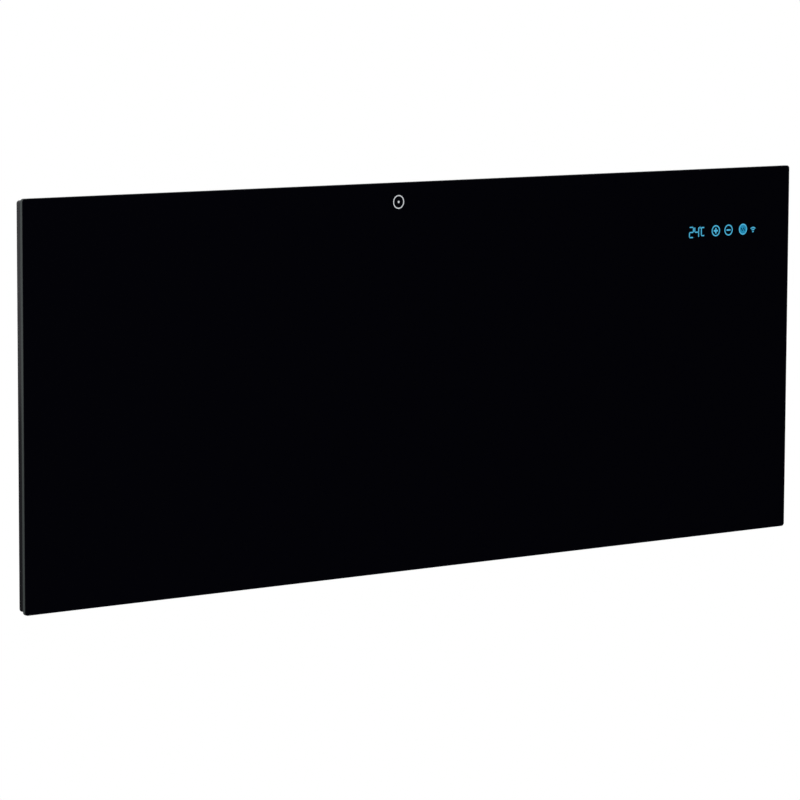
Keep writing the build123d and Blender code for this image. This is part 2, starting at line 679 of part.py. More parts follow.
def reflector():
    sheet = plate(stack_outline(), REFLECTOR_BACK, MICA_REAR_BACK)
    return sheet - tab_notches(REFLECTOR_BACK - 1, MICA_REAR_BACK + 1)


def insulation():
    """A stiff board of mineral fibre that fills the pan behind the reflector."""
    board = plate(stack_outline(), SKIN_IN, REFLECTOR_BACK)
    board -= tab_notches(REFLECTOR_BACK - CHANNEL_DEPTH, REFLECTOR_BACK + 1)
    board -= lead_channels()
    pocket_r = CUTOUT_FLANGE_R + CUTOUT_POCKET_CLEAR
    for x in (-CUTOUT_X, CUTOUT_X):
        board -= facet_disc(x, 0, pocket_r, SKIN_IN - 1, REFLECTOR_BACK + 1, INNER_SIDES)
    for places in rivet_clusters():
        xs, zs = [x for x, z in places], [z for x, z in places]
        room = 2 * (RIVET_HEAD_R + RIVET_POCKET_CLEAR)
        pocket = spot((min(xs) + max(xs)) / 2, (min(zs) + max(zs)) / 2)
        outline = pocket * Rectangle(max(xs) - min(xs) + room, max(zs) - min(zs) + room)
        board -= plate(outline, SKIN_IN - 1, SKIN_IN + RIVET_HEAD_H + RIVET_POCKET_CLEAR)
    return board


def rivet_clusters():
    """The rivets of each hanger and of each catch."""
    hangers, catches = hanger_rivet_places(), catch_rivet_places()
    per_hanger, per_catch = len(hangers) // 2, len(catches) // 2
    return [hangers[:per_hanger], hangers[per_hanger:], catches[:per_catch], catches[per_catch:]]


def thermal_cutouts():
    """Snap-disc cut-outs: a metal cap on the reflector, a ceramic body and two blades."""
    cap_back = REFLECTOR_BACK - CUTOUT_CAP_H
    body_back = cap_back - CUTOUT_BODY_H
    pieces = []
    for x in (-CUTOUT_X, CUTOUT_X):
        piece = facet_disc(x, 0, CUTOUT_R, cap_back, REFLECTOR_BACK, INNER_SIDES)
        piece += facet_disc(x, 0, CUTOUT_FLANGE_R, cap_back, cap_back + CUTOUT_FLANGE_T, INNER_SIDES)
        piece += facet_disc(x, 0, CUTOUT_R - CUTOUT_WAIST, body_back, cap_back, INNER_SIDES)
        for side in (-1, 1):
            blade = spot(x + side * CUTOUT_R / 2, 0) * Rectangle(BLADE_T, BLADE_W)
            piece += plate(blade, SKIN_IN + BLADE_GAP, body_back)
        pieces.append(piece)
    return group(pieces)


# ======================================================================================
# Touch electronics
# ======================================================================================
def touch_board():
    outline = spot(TOUCH_X, TOUCH_Z) * RectangleRounded(TOUCH_W, TOUCH_H, BOARD_CORNER_R)
    board = plate(outline, TOUCH_BACK, TOUCH_FRONT)
    half_w, half_h = TOUCH_W / 2 - TOUCH_HOLE_IN[0], TOUCH_H / 2 - TOUCH_HOLE_IN[1]
    for x, z in four_corners(TOUCH_X, TOUCH_Z, half_w, half_h):
        board -= facet_disc(x, z, SCREW_R + SCREW_CLEAR, TOUCH_BACK - 1, TOUCH_FRONT + 1)
    return board


def light_guide():
    """A black frame that keeps the light of each sign apart, with a window for each."""
    outline = spot(TOUCH_X, TOUCH_Z) * RectangleRounded(GUIDE_W, GUIDE_H, BOARD_CORNER_R)
    frame = plate(outline, TOUCH_FRONT, GLASS_BACK)
    window = Rectangle(DISPLAY_W + 2 * WINDOW_CLEAR, DISPLAY_H + 2 * WINDOW_CLEAR)
    frame -= cutter(spot(DISPLAY_X, TOUCH_Z) * window, TOUCH_FRONT, GLASS_BACK)
    rounds = [(x, KEY_R + WINDOW_CLEAR) for x in KEY_XS] + [(SIGNAL_X, SIGNAL_R)]
    for x, radius in rounds:
        frame -= facet_disc(x, TOUCH_Z, radius, TOUCH_FRONT - 1, GLASS_BACK + 1, INNER_SIDES)
    return frame


def segment_bars():
    """Outlines of the seven segments of each of the two digits."""
    low, high = DIGIT_H / -2, DIGIT_H / 2
    for x in DIGITS_X:
        for z in (low, 0, high):
            yield spot(x, TOUCH_Z + z) * Rectangle(DIGIT_W - 2 * DIGIT_STROKE, DIGIT_STROKE)
        for dx in (DIGIT_W / -2, DIGIT_W / 2):
            for z in (low / 2, high / 2):
                bar = Rectangle(DIGIT_STROKE, DIGIT_H / 2 - 2 * DIGIT_STROKE)
                yield spot(x + dx, TOUCH_Z + z) * bar


def display_module():
    """Seven-segment block: a closed body with shallow recesses for its segments."""
    face = GLASS_BACK - DISPLAY_BACK
    body = plate(spot(DISPLAY_X, TOUCH_Z) * Rectangle(DISPLAY_W, DISPLAY_H), TOUCH_FRONT, face)
    for bar in segment_bars():
        body -= plate(bar, face - DIGIT_SUNK, face + 1)
    return body


def wireless_module():
    """Small radio board with a screening can, flat on the back of the touch board."""
    near = TOUCH_BACK - WIRELESS_T
    x, z = TOUCH_X + WIRELESS_AT[0], TOUCH_Z + WIRELESS_AT[1]
    board = plate(spot(x, z) * Rectangle(WIRELESS_W, WIRELESS_H), near, TOUCH_BACK)
    return board + plate(spot(x + CAN_AT, z) * Rectangle(CAN_W, CAN_H), near - CAN_TALL, near)


def ribbon_sockets():
    """Sockets for the ribbon, one on each board."""
    outline = Rectangle(SOCKET_W, SOCKET_H)
    upper = plate(spot(TOUCH_X, TOUCH_Z - SOCKET_DROP) * outline, TOUCH_BACK - SOCKET_TALL, TOUCH_BACK)
    lower = plate(spot(TOUCH_X, BOARD_SOCKET_Z) * outline, BOARD_FRONT, BOARD_FRONT + SOCKET_TALL)
    return group([upper, lower])


def ribbon_cable():
    """The flat cable between the two boards, folded through the window."""
    high, low = TOUCH_BACK - SOCKET_TALL / 2, BOARD_FRONT + SOCKET_TALL / 2
    top, foot = TOUCH_Z - SOCKET_DROP - SOCKET_H / 2, BOARD_SOCKET_Z + SOCKET_H / 2
    points = [(high, top), (high, PASS_Z), (low, PASS_Z), (low, foot)]
    return folded(points, RIBBON_T, RIBBON_BEND_R, RIBBON_W, TOUCH_X)


def earth_stud():
    """Stud welded to the tray, with a ring tag and its nut."""
    across, down = STUD_AT
    x, z = POCKET_LEFT + across, STACK_H / 2 - down
    tag_near = SKIN_IN + STUD_SHOULDER
    tag_far = tag_near + TAG_T
    tag = spot(x, z) * RegularPolygon(TAG_R, INNER_SIDES) + spot(x + TAG_L / 2, z) * Rectangle(TAG_L, TAG_W)
    nut = spot(x, z) * RegularPolygon(STUD_NUT_FLATS / 2, 6, major_radius=False)
    stud = facet_disc(x, z, STUD_R, SKIN_IN, SKIN_IN + STUD_H)
    return stud + plate(tag, tag_near, tag_far) + plate(nut, tag_far, tag_far + STUD_NUT_H)


# ======================================================================================
# Control box
# ======================================================================================
def box_posts():
    """(x, z) of the four screw posts in the corners of the control box."""
    return four_corners(BOX_X, BOX_Z, BOX_W / 2 - POST_INSET, BOX_H / 2 - POST_INSET)


def board_posts():
    """(x, z) of the four stands that carry the power board."""
    return four_corners(BOX_X, BOX_Z, BOARD_W / 2 - STAND_IN[0], BOARD_H / 2 - STAND_IN[1])


def box_outline(less=0.0):
    """Outline of the control box, or one that lies inside it by the same amount all round."""
    return spot(BOX_X, BOX_Z) * RectangleRounded(BOX_W - 2 * less, BOX_H - 2 * less, BOX_R - less)


def control_box_base():
    """Moulded housing fixed to the tray: floor, walls, screw posts and board stands."""
    base = plate(box_outline(), COVER_FACE, WALL_GAP)
    base -= plate(box_outline(BOX_WALL), COVER_FACE - 1, BOX_FLOOR)
    post_end = COVER_FACE + COVER_FIT
    for x, z in box_posts():
        base += facet_disc(x, z, POST_R, post_end, BOX_FLOOR, INNER_SIDES)
        base -= facet_disc(x, z, POST_HOLE_R, post_end - 1, post_end + POST_HOLE_DEPTH)
    for x, z in board_posts():
        base += facet_disc(x, z, STAND_R, BOARD_FRONT, BOX_FLOOR, INNER_SIDES)
        base -= facet_disc(x, z, POST_HOLE_R, BOARD_FRONT - 1, BOX_FLOOR)
    base -= cutter(pass_window(), BOX_FLOOR, WALL_GAP)
    through = 4 * BOX_WALL
    base -= below(GLAND_X, BOX_BOTTOM) * Cylinder(GLAND_THREAD_R + THREAD_CLEAR, through)
    base -= below(SENSOR_X, BOX_BOTTOM) * Cylinder(SENSOR_R + THREAD_CLEAR, through)
    opening_l, opening_w = SWITCH_BODY_L + 2 * THREAD_CLEAR, SWITCH_BODY_W + 2 * THREAD_CLEAR
    return base - below(SWITCH_X, BOX_BOTTOM) * Box(opening_l, opening_w, through)


def control_box_cover():
    """Moulded lid with a locating lip, sunk screws and rows of slots that let air out."""
    lid = plate(box_outline(), BOX_BACK, COVER_FACE)
    lid = chamfer(lid.faces().sort_by(Axis.Y)[-1].edges(), COVER_EDGE)
    lip_end = COVER_FACE + COVER_LIP_H
    outer = BOX_WALL + COVER_FIT
    lid += plate(box_outline(outer) - box_outline(outer + COVER_LIP_T), COVER_FACE, lip_end)
    for x, z in box_posts():
        lid -= facet_disc(x, z, POST_R + COVER_FIT, COVER_FACE, lip_end + 1, INNER_SIDES)
        lid -= facet_disc(x, z, SCREW_R + SCREW_CLEAR, BOX_BACK - 1, COVER_FACE + 1)
        lid -= facet_disc(x, z, SCREW_HEAD_R + COVER_FIT, BOX_BACK - 1, BOX_BACK + SCREW_SUNK, INNER_SIDES)
    gap_w = LOCKNUT_FLATS / math.cos(math.pi / 6) + 2 * LIP_CLEAR
    gap_h = 2 * (BOX_WALL + GLAND_THREAD_IN + LIP_CLEAR)
    gland_gap = spot(GLAND_X, BOX_BOTTOM) * Rectangle(gap_w, gap_h)
    lid -= plate(gland_gap, COVER_FACE, lip_end + 1)
    first = BOX_Z - (LOUVRE_ROWS - 1) / 2 * LOUVRE_PITCH
    for row in range(LOUVRE_ROWS):
        for side in (-1, 1):
            slot = spot(BOX_X + side * (LOUVRE_MIDDLE + LOUVRE_L / 2), first + row * LOUVRE_PITCH)
            lid -= cutter(slot * Rectangle(LOUVRE_L, LOUVRE_W), BOX_BACK, COVER_FACE)
    return lid


def pan_screw(x, z, seat, length):
    """A pan-head screw driven towards the tray, kept plain."""
    head = facet_disc(x, z, SCREW_HEAD_R, seat - SCREW_HEAD_H, seat, INNER_SIDES)
    return head + facet_disc(x, z, POST_HOLE_R, seat, seat + length)


def cover_screws():
    return group(pan_screw(x, z, BOX_BACK + SCREW_SUNK, COVER_SCREW_L) for x, z in box_posts())


def board_screws():
    return group(pan_screw(x, z, BOARD_BACK, BOARD_SCREW_L) for x, z in board_posts())


def power_board():
    outline = spot(BOX_X, BOX_Z) * RectangleRounded(BOARD_W, BOARD_H, BOARD_CORNER_R)
    board = plate(outline, BOARD_BACK, BOARD_FRONT)
    for x, z in board_posts():
        board -= facet_disc(x, z, SCREW_R, BOARD_BACK - 1, BOARD_FRONT + 1)
    return board


def board_block(dx, dz, width, height, tall):
    """A component on the back of the power board, (dx, dz) from the board's middle."""
    return plate(spot(BOX_X + dx, BOX_Z + dz) * Rectangle(width, height), BOARD_BACK - tall, BOARD_BACK)


def power_relay():
    """A sealed relay with its upright edges rounded."""
    block = board_block(*RELAY_AT, RELAY_W, RELAY_H, RELAY_TALL)
    return fillet(block.edges().filter_by(Axis.Y), RELAY_EDGE_R)


def supply_transformer():
    """Bobbin between the two halves of its core."""
    dx, dz = CORE_AT
    bobbin = board_block(dx, dz, BOBBIN_W, CORE_APART, BOBBIN_TALL)
    halves = [board_block(dx, dz + side * CORE_APART / 2, CORE_W, CORE_H, CORE_TALL) for side in (-1, 1)]
    return bobbin + halves


def board_capacitors():
    cans = []
    for dx, dz, radius, tall in CANS:
        cans.append(facet_disc(BOX_X + dx, BOX_Z + dz, radius, BOARD_BACK - tall, BOARD_BACK, INNER_SIDES))
    return group(cans)


def board_fuse():
    """Glass fuse in two clips."""
    x, z = BOX_X + FUSE_AT[0], BOX_Z + FUSE_AT[1]
    middle = Plane(origin=(x, FUSE_OUT - BOARD_BACK, z), z_dir=(1, 0, 0))
    tube = extrude(middle * RegularPolygon(FUSE_R, FASTENER_SIDES), FUSE_L / 2, both=True)
    for side in (-1, 1):
        clip = spot(x + side * FUSE_CLIPS / 2, z) * Rectangle(CLIP_W, CLIP_H)
        tube += plate(clip, BOARD_BACK - FUSE_OUT - CLIP_OVER, BOARD_BACK)
    return tube


def terminal_block():
    """Three screw terminals in a row, open towards the gland below."""
    dx, dz = TERMINAL_X - BOX_X, TERMINAL_Z - BOX_Z
    block = board_block(dx, dz, 3 * TERMINAL_PITCH, TERMINAL_H, TERMINAL_DEPTH)
    top = BOARD_BACK - TERMINAL_DEPTH
    foot = TERMINAL_Z - TERMINAL_H / 2
    for n in (-1, 0, 1):
        x = TERMINAL_X + n * TERMINAL_PITCH
        block -= facet_disc(x, TERMINAL_Z, TERMINAL_SCREW_R, top - 1, top + TERMINAL_SUNK)
        mouth = Box(TERMINAL_MOUTH_W, TERMINAL_MOUTH_W, 2 * TERMINAL_MOUTH_DEPTH)
        block -= Pos(x, TERMINAL_MOUTH_OUT - BOARD_BACK, foot) * mouth
    return block


# ======================================================================================
# Below the control box: gland, sensor and master switch
# ======================================================================================
def gland_body():
    """Threaded tube with a hexagon flange against the box and a cone-ended neck."""
    seat = below(GLAND_X, BOX_BOTTOM)
    body = seat * extrude(RegularPolygon(GLAND_FLATS / 2, 6, major_radius=False), GLAND_FLANGE_H)
    thread_in = BOX_WALL + GLAND_THREAD_IN
    body += seat * Pos(0, 0, -thread_in / 2) * Cylinder(GLAND_THREAD_R, thread_in)
    neck = GLAND_NUT_H - GLAND_SHOULDER - GLAND_NECK_GAP
    neck_r = GLAND_THREAD_R - GLAND_NECK_LESS
    body += seat * Pos(0, 0, GLAND_FLANGE_H + neck / 2) * Cylinder(neck_r, neck)
    bore = seat * Cylinder(GLAND_BORE_R + GLAND_NECK_LESS, 4 * thread_in)
    pocket = seat * Pos(0, 0, GLAND_FLANGE_H + neck) * Cylinder(SEAL_R, 2 * neck)
    return body - bore - pocket


def gland_nut():
    """Clamping nut: a hexagon for the wrench and a tapering nose."""
    seat = below(GLAND_X, BOX_BOTTOM - GLAND_FLANGE_H - GLAND_NUT_GAP)
    grip = GLAND_NUT_H * GLAND_GRIP_SHARE
    nose = GLAND_NUT_H - grip
    half_flats = GLAND_FLATS / 2 - GLAND_NUT_LESS
    nut = seat * extrude(RegularPolygon(half_flats, 6, major_radius=False), grip)
    wide, narrow = half_flats - GLAND_NOSE_R[0], half_flats - GLAND_NOSE_R[1]
    nut += seat * Pos(0, 0, grip + nose / 2) * Cone(wide, narrow, nose)
    thread = GLAND_NUT_H - GLAND_SHOULDER
    thread_r = GLAND_THREAD_R - GLAND_NECK_LESS + THREAD_CLEAR
    nut -= seat * Pos(0, 0, thread / 2) * Cylinder(thread_r, thread)
    return nut - seat * Cylinder(GLAND_BORE_R, 4 * GLAND_NUT_H)


def gland_seal():
    """Rubber sleeve that grips the cable, waisted at its mouth."""
    top = GLAND_FLANGE_H + GLAND_SEAL_GAP
    length = GLAND_NUT_GAP + GLAND_NUT_H - GLAND_SHOULDER - GLAND_SEAL_GAP
    seat = below(GLAND_X, BOX_BOTTOM - top)
    sleeve = seat * Pos(0, 0, length / 2) * Cylinder(SEAL_R - THREAD_CLEAR, length)
    end = sleeve.faces().sort_by(Axis.Z)[0]
    sleeve = chamfer(end.edges(), SEAL_WAIST)
    return sleeve - seat * Cylinder(GLAND_BORE_R, 4 * length)


def gland_locknut():
    seat = below(GLAND_X, BOX_BOTTOM + BOX_WALL + LOCKNUT_H)
    nut = seat * extrude(RegularPolygon(LOCKNUT_FLATS / 2, 6, major_radius=False), LOCKNUT_H)
    return nut - seat * Cylinder(GLAND_THREAD_R + THREAD_CLEAR, 4 * LOCKNUT_H)


def room_sensor():
    """Thermistor on its stem, down to the closed end of its slotted cap."""
    seat = below(SENSOR_X, BOX_BOTTOM)
    stem = seat * Pos(0, 0, -STEM_L) * extrude(RegularPolygon(STEM_R, 6), STEM_L + THERMISTOR_AT)
    length = SENSOR_PROUD - SENSOR_SKIN - THERMISTOR_AT
    outline = RegularPolygon(THERMISTOR_R, FASTENER_SIDES)
    return stem + seat * Pos(0, 0, THERMISTOR_AT) * extrude(outline, length)


def sensor_cap():
    """Cap pushed into the box, with a rim, a chamfered end and slots for the room air."""
    seat = below(SENSOR_X, BOX_BOTTOM)
    shank = BOX_WALL + SENSOR_SHANK_IN
    cap = seat * Pos(0, 0, (SENSOR_PROUD - shank) / 2) * Cylinder(SENSOR_R, SENSOR_PROUD + shank)
    cap = chamfer(cap.faces().sort_by(Axis.Z)[0].edges(), SENSOR_EDGE)
    cap += seat * Pos(0, 0, SENSOR_RIM_T / 2) * Cylinder(SENSOR_RIM_R, SENSOR_RIM_T)
    depth = SENSOR_PROUD - SENSOR_SKIN
    cap -= seat * Pos(0, 0, depth / 2 - shank) * Cylinder(SENSOR_R - SENSOR_SKIN, depth + 2 * shank)
    for turn in (0, 90):
        slot = Box(3 * SENSOR_R, SENSOR_SLOT_W, SENSOR_SLOT_L)
        cap -= seat * Rot(0, 0, turn) * Pos(0, 0, SENSOR_SLOT_AT) * slot
    return cap


def switch_housing():
    """Rocker switch frame: a bezel below the box and a body that snaps into it."""
    seat = below(SWITCH_X, BOX_BOTTOM)
    bezel = seat * extrude(RectangleRounded(SWITCH_L, SWITCH_W, SWITCH_WALL), SWITCH_BEZEL_H)
    bezel = chamfer(bezel.faces().sort_by(Axis.Z)[0].edges(), SWITCH_BEZEL_EDGE)
    body = Box(SWITCH_BODY_L, SWITCH_BODY_W, SWITCH_BODY_DEPTH)
    housing = bezel + seat * Pos(0, 0, -SWITCH_BODY_DEPTH / 2) * body
    mouth = SWITCH_BEZEL_H + 1
    well_depth = SWITCH_BODY_DEPTH - SWITCH_FLOOR + mouth
    well = Box(2 * (ROCKER_END_R + ROCKER_GAP), SWITCH_WELL_W, well_depth)
    housing -= seat * Pos(0, 0, mouth - well_depth / 2) * well
    housing -= rocker_axis() * Cylinder(ROCKER_PIN_R + ROCKER_PIN_FIT, SWITCH_WELL_W + 2 * ROCKER_PIN_L)
    for n in (-1, 0, 1):
        blade = Box(BLADE_T, BLADE_W, SWITCH_BLADE_L)
        depth = SWITCH_BODY_DEPTH + SWITCH_BLADE_L / 2 - JOIN
        housing += seat * Pos(n * SWITCH_BLADE_PITCH, 0, -depth) * blade
    return housing


def rocker_axis():
    """The rocker turns about a line along Y, just inside the switch. Local y points down."""
    axis_z = BOX_BOTTOM + ROCKER_DEPTH
    return Plane(origin=(SWITCH_X, -UNDER_OUT, axis_z), x_dir=(1, 0, 0), z_dir=(0, 1, 0))


def master_rocker():
    """Rocker in the pressed-on position: a flat face below, and a back that leans away both ways."""
    width = SWITCH_WELL_W - 2 * ROCKER_GAP
    slope = math.radians(ROCKER_SWING + ROCKER_BACK_LEAN)
    reach = 2 * ROCKER_END_R
    end = -ROCKER_BACK - reach * math.tan(slope)
    corners = [(-reach, end), (0, -ROCKER_BACK), (reach, end), (reach, ROCKER_FACE), (-reach, ROCKER_FACE)]
    profile = Circle(ROCKER_END_R) & make_face(Polyline(*corners, close=True))
    axis = rocker_axis()
    rocker = extrude(axis * Pos(0, 0, -width / 2) * Rot(0, 0, -ROCKER_SWING) * profile, amount=width)
    return rocker + axis * Cylinder(ROCKER_PIN_R, width + 2 * ROCKER_PIN_L)


# ======================================================================================
# Wall bracket
# ======================================================================================
def rail(lip, side):
    """Z-shaped rail: wall flange, web and lip. side is 1 for the upper, -1 for the lower."""
    mid = RAIL_T / 2
    wall_mid, lip_mid = mid, RAIL_REACH - mid
    points = [(wall_mid, side * (RAIL_Z - RAIL_FLANGE / 2)), (wall_mid, side * (RAIL_WEB - mid)),
              (lip_mid, side * (RAIL_WEB - mid)), (lip_mid, side * (RAIL_WEB + lip))]
    bar = folded(points, RAIL_T, RAIL_BEND_R, RAIL_L, 0)
    for dx in (-1, 1):
        slot = spot(dx * SCREW_SPACING_X / 2, side * RAIL_Z) * SlotOverall(SCREW_SLOT_L, SCREW_SLOT_W)
        bar -= cutter(slot, 0, RAIL_T)
    for x, z in bracket_rivet_places():
        bar -= facet_disc(x, z, RIVET_R, -1, RAIL_T + 1)
    return bar


def upper_rail():
    """The lip points up and has a notch for each hook, so that the panel can't wander."""
    bar = rail(UPPER_LIP_H, 1)
    for side in (-1, 1):
        outline = Rectangle(HANGER_W + 2 * NOTCH_SIDE, 2 * NOTCH_DEPTH)
        notch = spot(side * HANGER_X, NOTCH_FLOOR + NOTCH_DEPTH) * outline
        bar -= cutter(notch, RAIL_REACH - RAIL_T, RAIL_REACH)
    return bar


def lower_rail():
    """The lip points down and carries the pivots of the two turn latches."""
    bar = rail(LOWER_LIP_H, -1)
    for side in (-1, 1):
        bar -= disc(side * LATCH_X, LATCH_Z, PIVOT_R, RAIL_REACH - RAIL_T - 1, RAIL_REACH + 1)
    return bar


def upright(side):
    """A shallow channel with long slots, riveted to both rails."""
    half = RAIL_WEB - RAIL_T - UPRIGHT_END_GAP
    x = side * UPRIGHT_X
    mid = UPRIGHT_T / 2
    out_side, out_base = RAIL_T + UPRIGHT_SIDE, RAIL_T + mid
    edge = UPRIGHT_W / 2 - mid
    path = FilletPolyline((x - edge, -out_side, -half), (x - edge, -out_base, -half),
                          (x + edge, -out_base, -half), (x + edge, -out_side, -half),
                          radius=UPRIGHT_BEND_R + mid)
    start = Plane(origin=path @ 0, x_dir=(0, 0, 1), z_dir=path % 0)
    channel = sweep(start * Pos(half, 0) * Rectangle(2 * half, UPRIGHT_T), path=path)
    room = half - RAIL_FLANGE
    slot = Rot(0, 0, 90) * SlotOverall(UPRIGHT_SLOT_SHARE * room, UPRIGHT_SLOT_W)
    for n in (-1, 0, 1):
        place = spot(x, n * room * UPRIGHT_SLOT_PITCH)
        channel -= cutter(place * slot, RAIL_T, RAIL_T + UPRIGHT_T)
    for px, pz in bracket_rivet_places():
        channel -= facet_disc(px, pz, RIVET_R, RAIL_T - 1, RAIL_T + UPRIGHT_T + 1)
    return channel


def bracket_rivet_places():
    """Two rivets at each end of each upright."""
    places = []
    for x, z in four_corners(0, 0, UPRIGHT_X, RAIL_Z + UPRIGHT_RIVETS_UP):
        for dx in (-UPRIGHT_RIVETS_APART / 2, UPRIGHT_RIVETS_APART / 2):
            places.append((x + dx, z))
    return places


def bracket_rivets():
    seat = RAIL_T + UPRIGHT_T
    return group(rivet(x, z, seat, RIVET_TAIL_BACK, towards_wall=False) for x, z in bracket_rivet_places())


# ======================================================================================
# Hangers, latches and bumpers
# ======================================================================================
def hanger_rivet_places():
    """Four rivets through the plate of each hanger."""
    plate_mid = HANGER_FOOT + HANGER_PLATE / 2
    places = []
    for side in (-1, 1):
        for dx in HANGER_RIVETS_X:
            for dz in HANGER_RIVETS_Z:
                places.append((side * HANGER_X + dx, plate_mid + dz))
    return places


def hanger(side):
    """A plate on the tray with a hook along its top that drops over the rail's lip."""
    mid = HANGER_T / 2
    on_tray, lip_out = WALL_GAP - mid, RAIL_REACH - RAIL_T - HOOK_GAP - mid
    top = HOOK_WEB_UNDER + mid
    points = [(on_tray, HANGER_FOOT), (on_tray, top), (lip_out, top), (lip_out, HOOK_LIP_END)]
    hook = folded(points, HANGER_T, HANGER_BEND_R, HANGER_W, side * HANGER_X)
    for x, z in hanger_rivet_places():
        hook -= facet_disc(x, z, RIVET_R, WALL_GAP - HANGER_T - 1, WALL_GAP + 1)
    return hook


def catch_rivet_places():
    """Two rivets through the plate of each catch."""
    z = CATCH_TOP - CATCH_PLATE + CATCH_RIVET_UP
    alongs = (CATCH_RIVET_IN, CATCH_W - CATCH_RIVET_IN)
    return [(side * (LATCH_X + CATCH_START + along), z) for side in (-1, 1) for along in alongs]


def catch(side):
    """An angle on the tray whose ledge sits just below the locked latch."""
    mid = CATCH_T / 2
    on_tray, ledge = WALL_GAP - mid, RAIL_REACH + CATCH_BACK_GAP
    points = [(on_tray, CATCH_TOP - CATCH_PLATE), (on_tray, CATCH_TOP - mid), (ledge, CATCH_TOP - mid)]
    x = side * (LATCH_X + CATCH_START + CATCH_W / 2)
    angle = folded(points, CATCH_T, CATCH_BEND_R, CATCH_W, x)
    for px, pz in catch_rivet_places():
        angle -= facet_disc(px, pz, RIVET_R, WALL_GAP - CATCH_T - 1, WALL_GAP + 1)
    return angle


def tray_rivets():
    """All the rivets that hold hangers and catches to the tray."""
    tail = SKIN_IN + RIVET_HEAD_H
    rivets = [rivet(x, z, WALL_GAP - HANGER_T, tail) for x, z in hanger_rivet_places()]
    rivets += [rivet(x, z, WALL_GAP - CATCH_T, tail) for x, z in catch_rivet_places()]
    return group(rivets)


def turn_latch(side):
    """A turn button, open: short tongue up, long handle with a finger tab down."""
    x = side * LATCH_X
    tongue = spot(x, LATCH_Z + LATCH_TONGUE_L / 2)
    handle = spot(x, LATCH_Z - LATCH_HANDLE_L / 2)
    outline = spot(x, LATCH_Z) * Circle(LATCH_BOSS_R)
    outline += tongue * RectangleRounded(LATCH_TONGUE_W, LATCH_TONGUE_L, LATCH_CORNER_R)
    outline += handle * RectangleRounded(LATCH_HANDLE_W, LATCH_HANDLE_L, LATCH_CORNER_R)
    button = plate(outline, LATCH_NEAR, LATCH_FAR)
    tab = spot(x, LATCH_Z - LATCH_HANDLE_L + LATCH_TAB_BACK + LATCH_T / 2)
    tab_outline = Rectangle(LATCH_HANDLE_W - 2 * LATCH_CORNER_R, LATCH_T)
    button += plate(tab * tab_outline, LATCH_FAR - JOIN, LATCH_FAR + LATCH_TAB_H)
    return button - disc(x, LATCH_Z, PIVOT_R + PIVOT_FIT, LATCH_NEAR - 1, LATCH_FAR + 1)


def latch_pivots():
    """Shoulder rivets on which the latches turn."""
    tail = RAIL_REACH - RAIL_T
    head = LATCH_FAR + LATCH_GAP
    pivots = []
    for x in (-LATCH_X, LATCH_X):
        pivot = disc(x, LATCH_Z, PIVOT_R, tail - PIVOT_HEAD_H, head)
        pivot += disc(x, LATCH_Z, PIVOT_HEAD_R, head, head + PIVOT_HEAD_H)
        pivots.append(pivot + facet_disc(x, LATCH_Z, PIVOT_TAIL_R, tail - PIVOT_HEAD_H, tail, INNER_SIDES))
    return group(pivots)


def bumpers():
    """Rubber buffers that keep the lower edge of the panel off the bracket."""
    z = -RAIL_WEB - LOWER_LIP_H / 2
    pads = []
    for x in (-BUMPER_X, BUMPER_X):
        pad = disc(x, z, BUMPER_R, RAIL_REACH + BUMPER_GAP, WALL_GAP)
        pads.append(chamfer(pad.faces().sort_by(Axis.Y)[-1].edges(), BUMPER_EDGE))
    return group(pads)


# ======================================================================================
# Nodes
# ======================================================================================
NODES = {
    "front_glass": front_glass,
    "glass_bond": glass_bond,
    "rear_tray": rear_tray,
    "front_mica_sheet": front_mica,
    "heating_strip": heating_strip,
    "element_tabs": element_tabs,
    "element_leads": element_leads,
    "rear_mica_sheet": rear_mica,
    "reflector_sheet": reflector,
    "insulation_board": insulation,
    "thermal_cutouts": thermal_cutouts,
    "earth_stud": earth_stud,
    "touch_board": touch_board,
    "light_guide": light_guide,
    "display_module": display_module,
    "wireless_module": wireless_module,
    "ribbon_sockets": ribbon_sockets,
    "ribbon_cable": ribbon_cable,
    "control_box_base": control_box_base,
    "control_box_cover": control_box_cover,
    "cover_screws": cover_screws,
    "power_board": power_board,
    "board_screws": board_screws,
    "power_relay": power_relay,
    "supply_transformer": supply_transformer,
    "board_capacitors": board_capacitors,
    "board_fuse": board_fuse,
    "terminal_block": terminal_block,
    "gland_body": gland_body,
    "gland_nut": gland_nut,
    "gland_seal": gland_seal,
    "gland_locknut": gland_locknut,
    "room_sensor": room_sensor,
    "sensor_cap": sensor_cap,
    "switch_housing": switch_housing,
    "master_rocker": master_rocker,
    "upper_rail": upper_rail,
    "lower_rail": lower_rail,
    "upright_left": lambda: upright(-1),
    "upright_right": lambda: upright(1),
    "bracket_rivets": bracket_rivets,
    "hanger_left": lambda: hanger(-1),
    "hanger_right": lambda: hanger(1),
    "catch_left": lambda: catch(-1),
    "catch_right": lambda: catch(1),
    "tray_rivets": tray_rivets,
    "latch_left": lambda: turn_latch(-1),
    "latch_right": lambda: turn_latch(1),
    "latch_pivots": latch_pivots,
    "bumpers": bumpers,
}

for name, make in NODES.items():
    export_step(make(), f"parts/{name}.step")
    print("wrote", name)
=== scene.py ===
# %% [markdown]
# # An infrared panel heater with a black glass front
#
# The heater is a sheet of black glass on a shallow steel pan. It hangs by two hooks on a
# steel bracket that is screwed to the wall, and a flat box on its back holds the controls.
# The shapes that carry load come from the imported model. This script gives every piece its
# finish, draws the lit signs on the glass, and turns the plain rivets, screws and rocker
# into real ones. It works in metres, with the wall at y = 0 and the glass facing -Y.

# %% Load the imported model
import json
import math

import bmesh
import bpy
from mathutils import Matrix, Vector


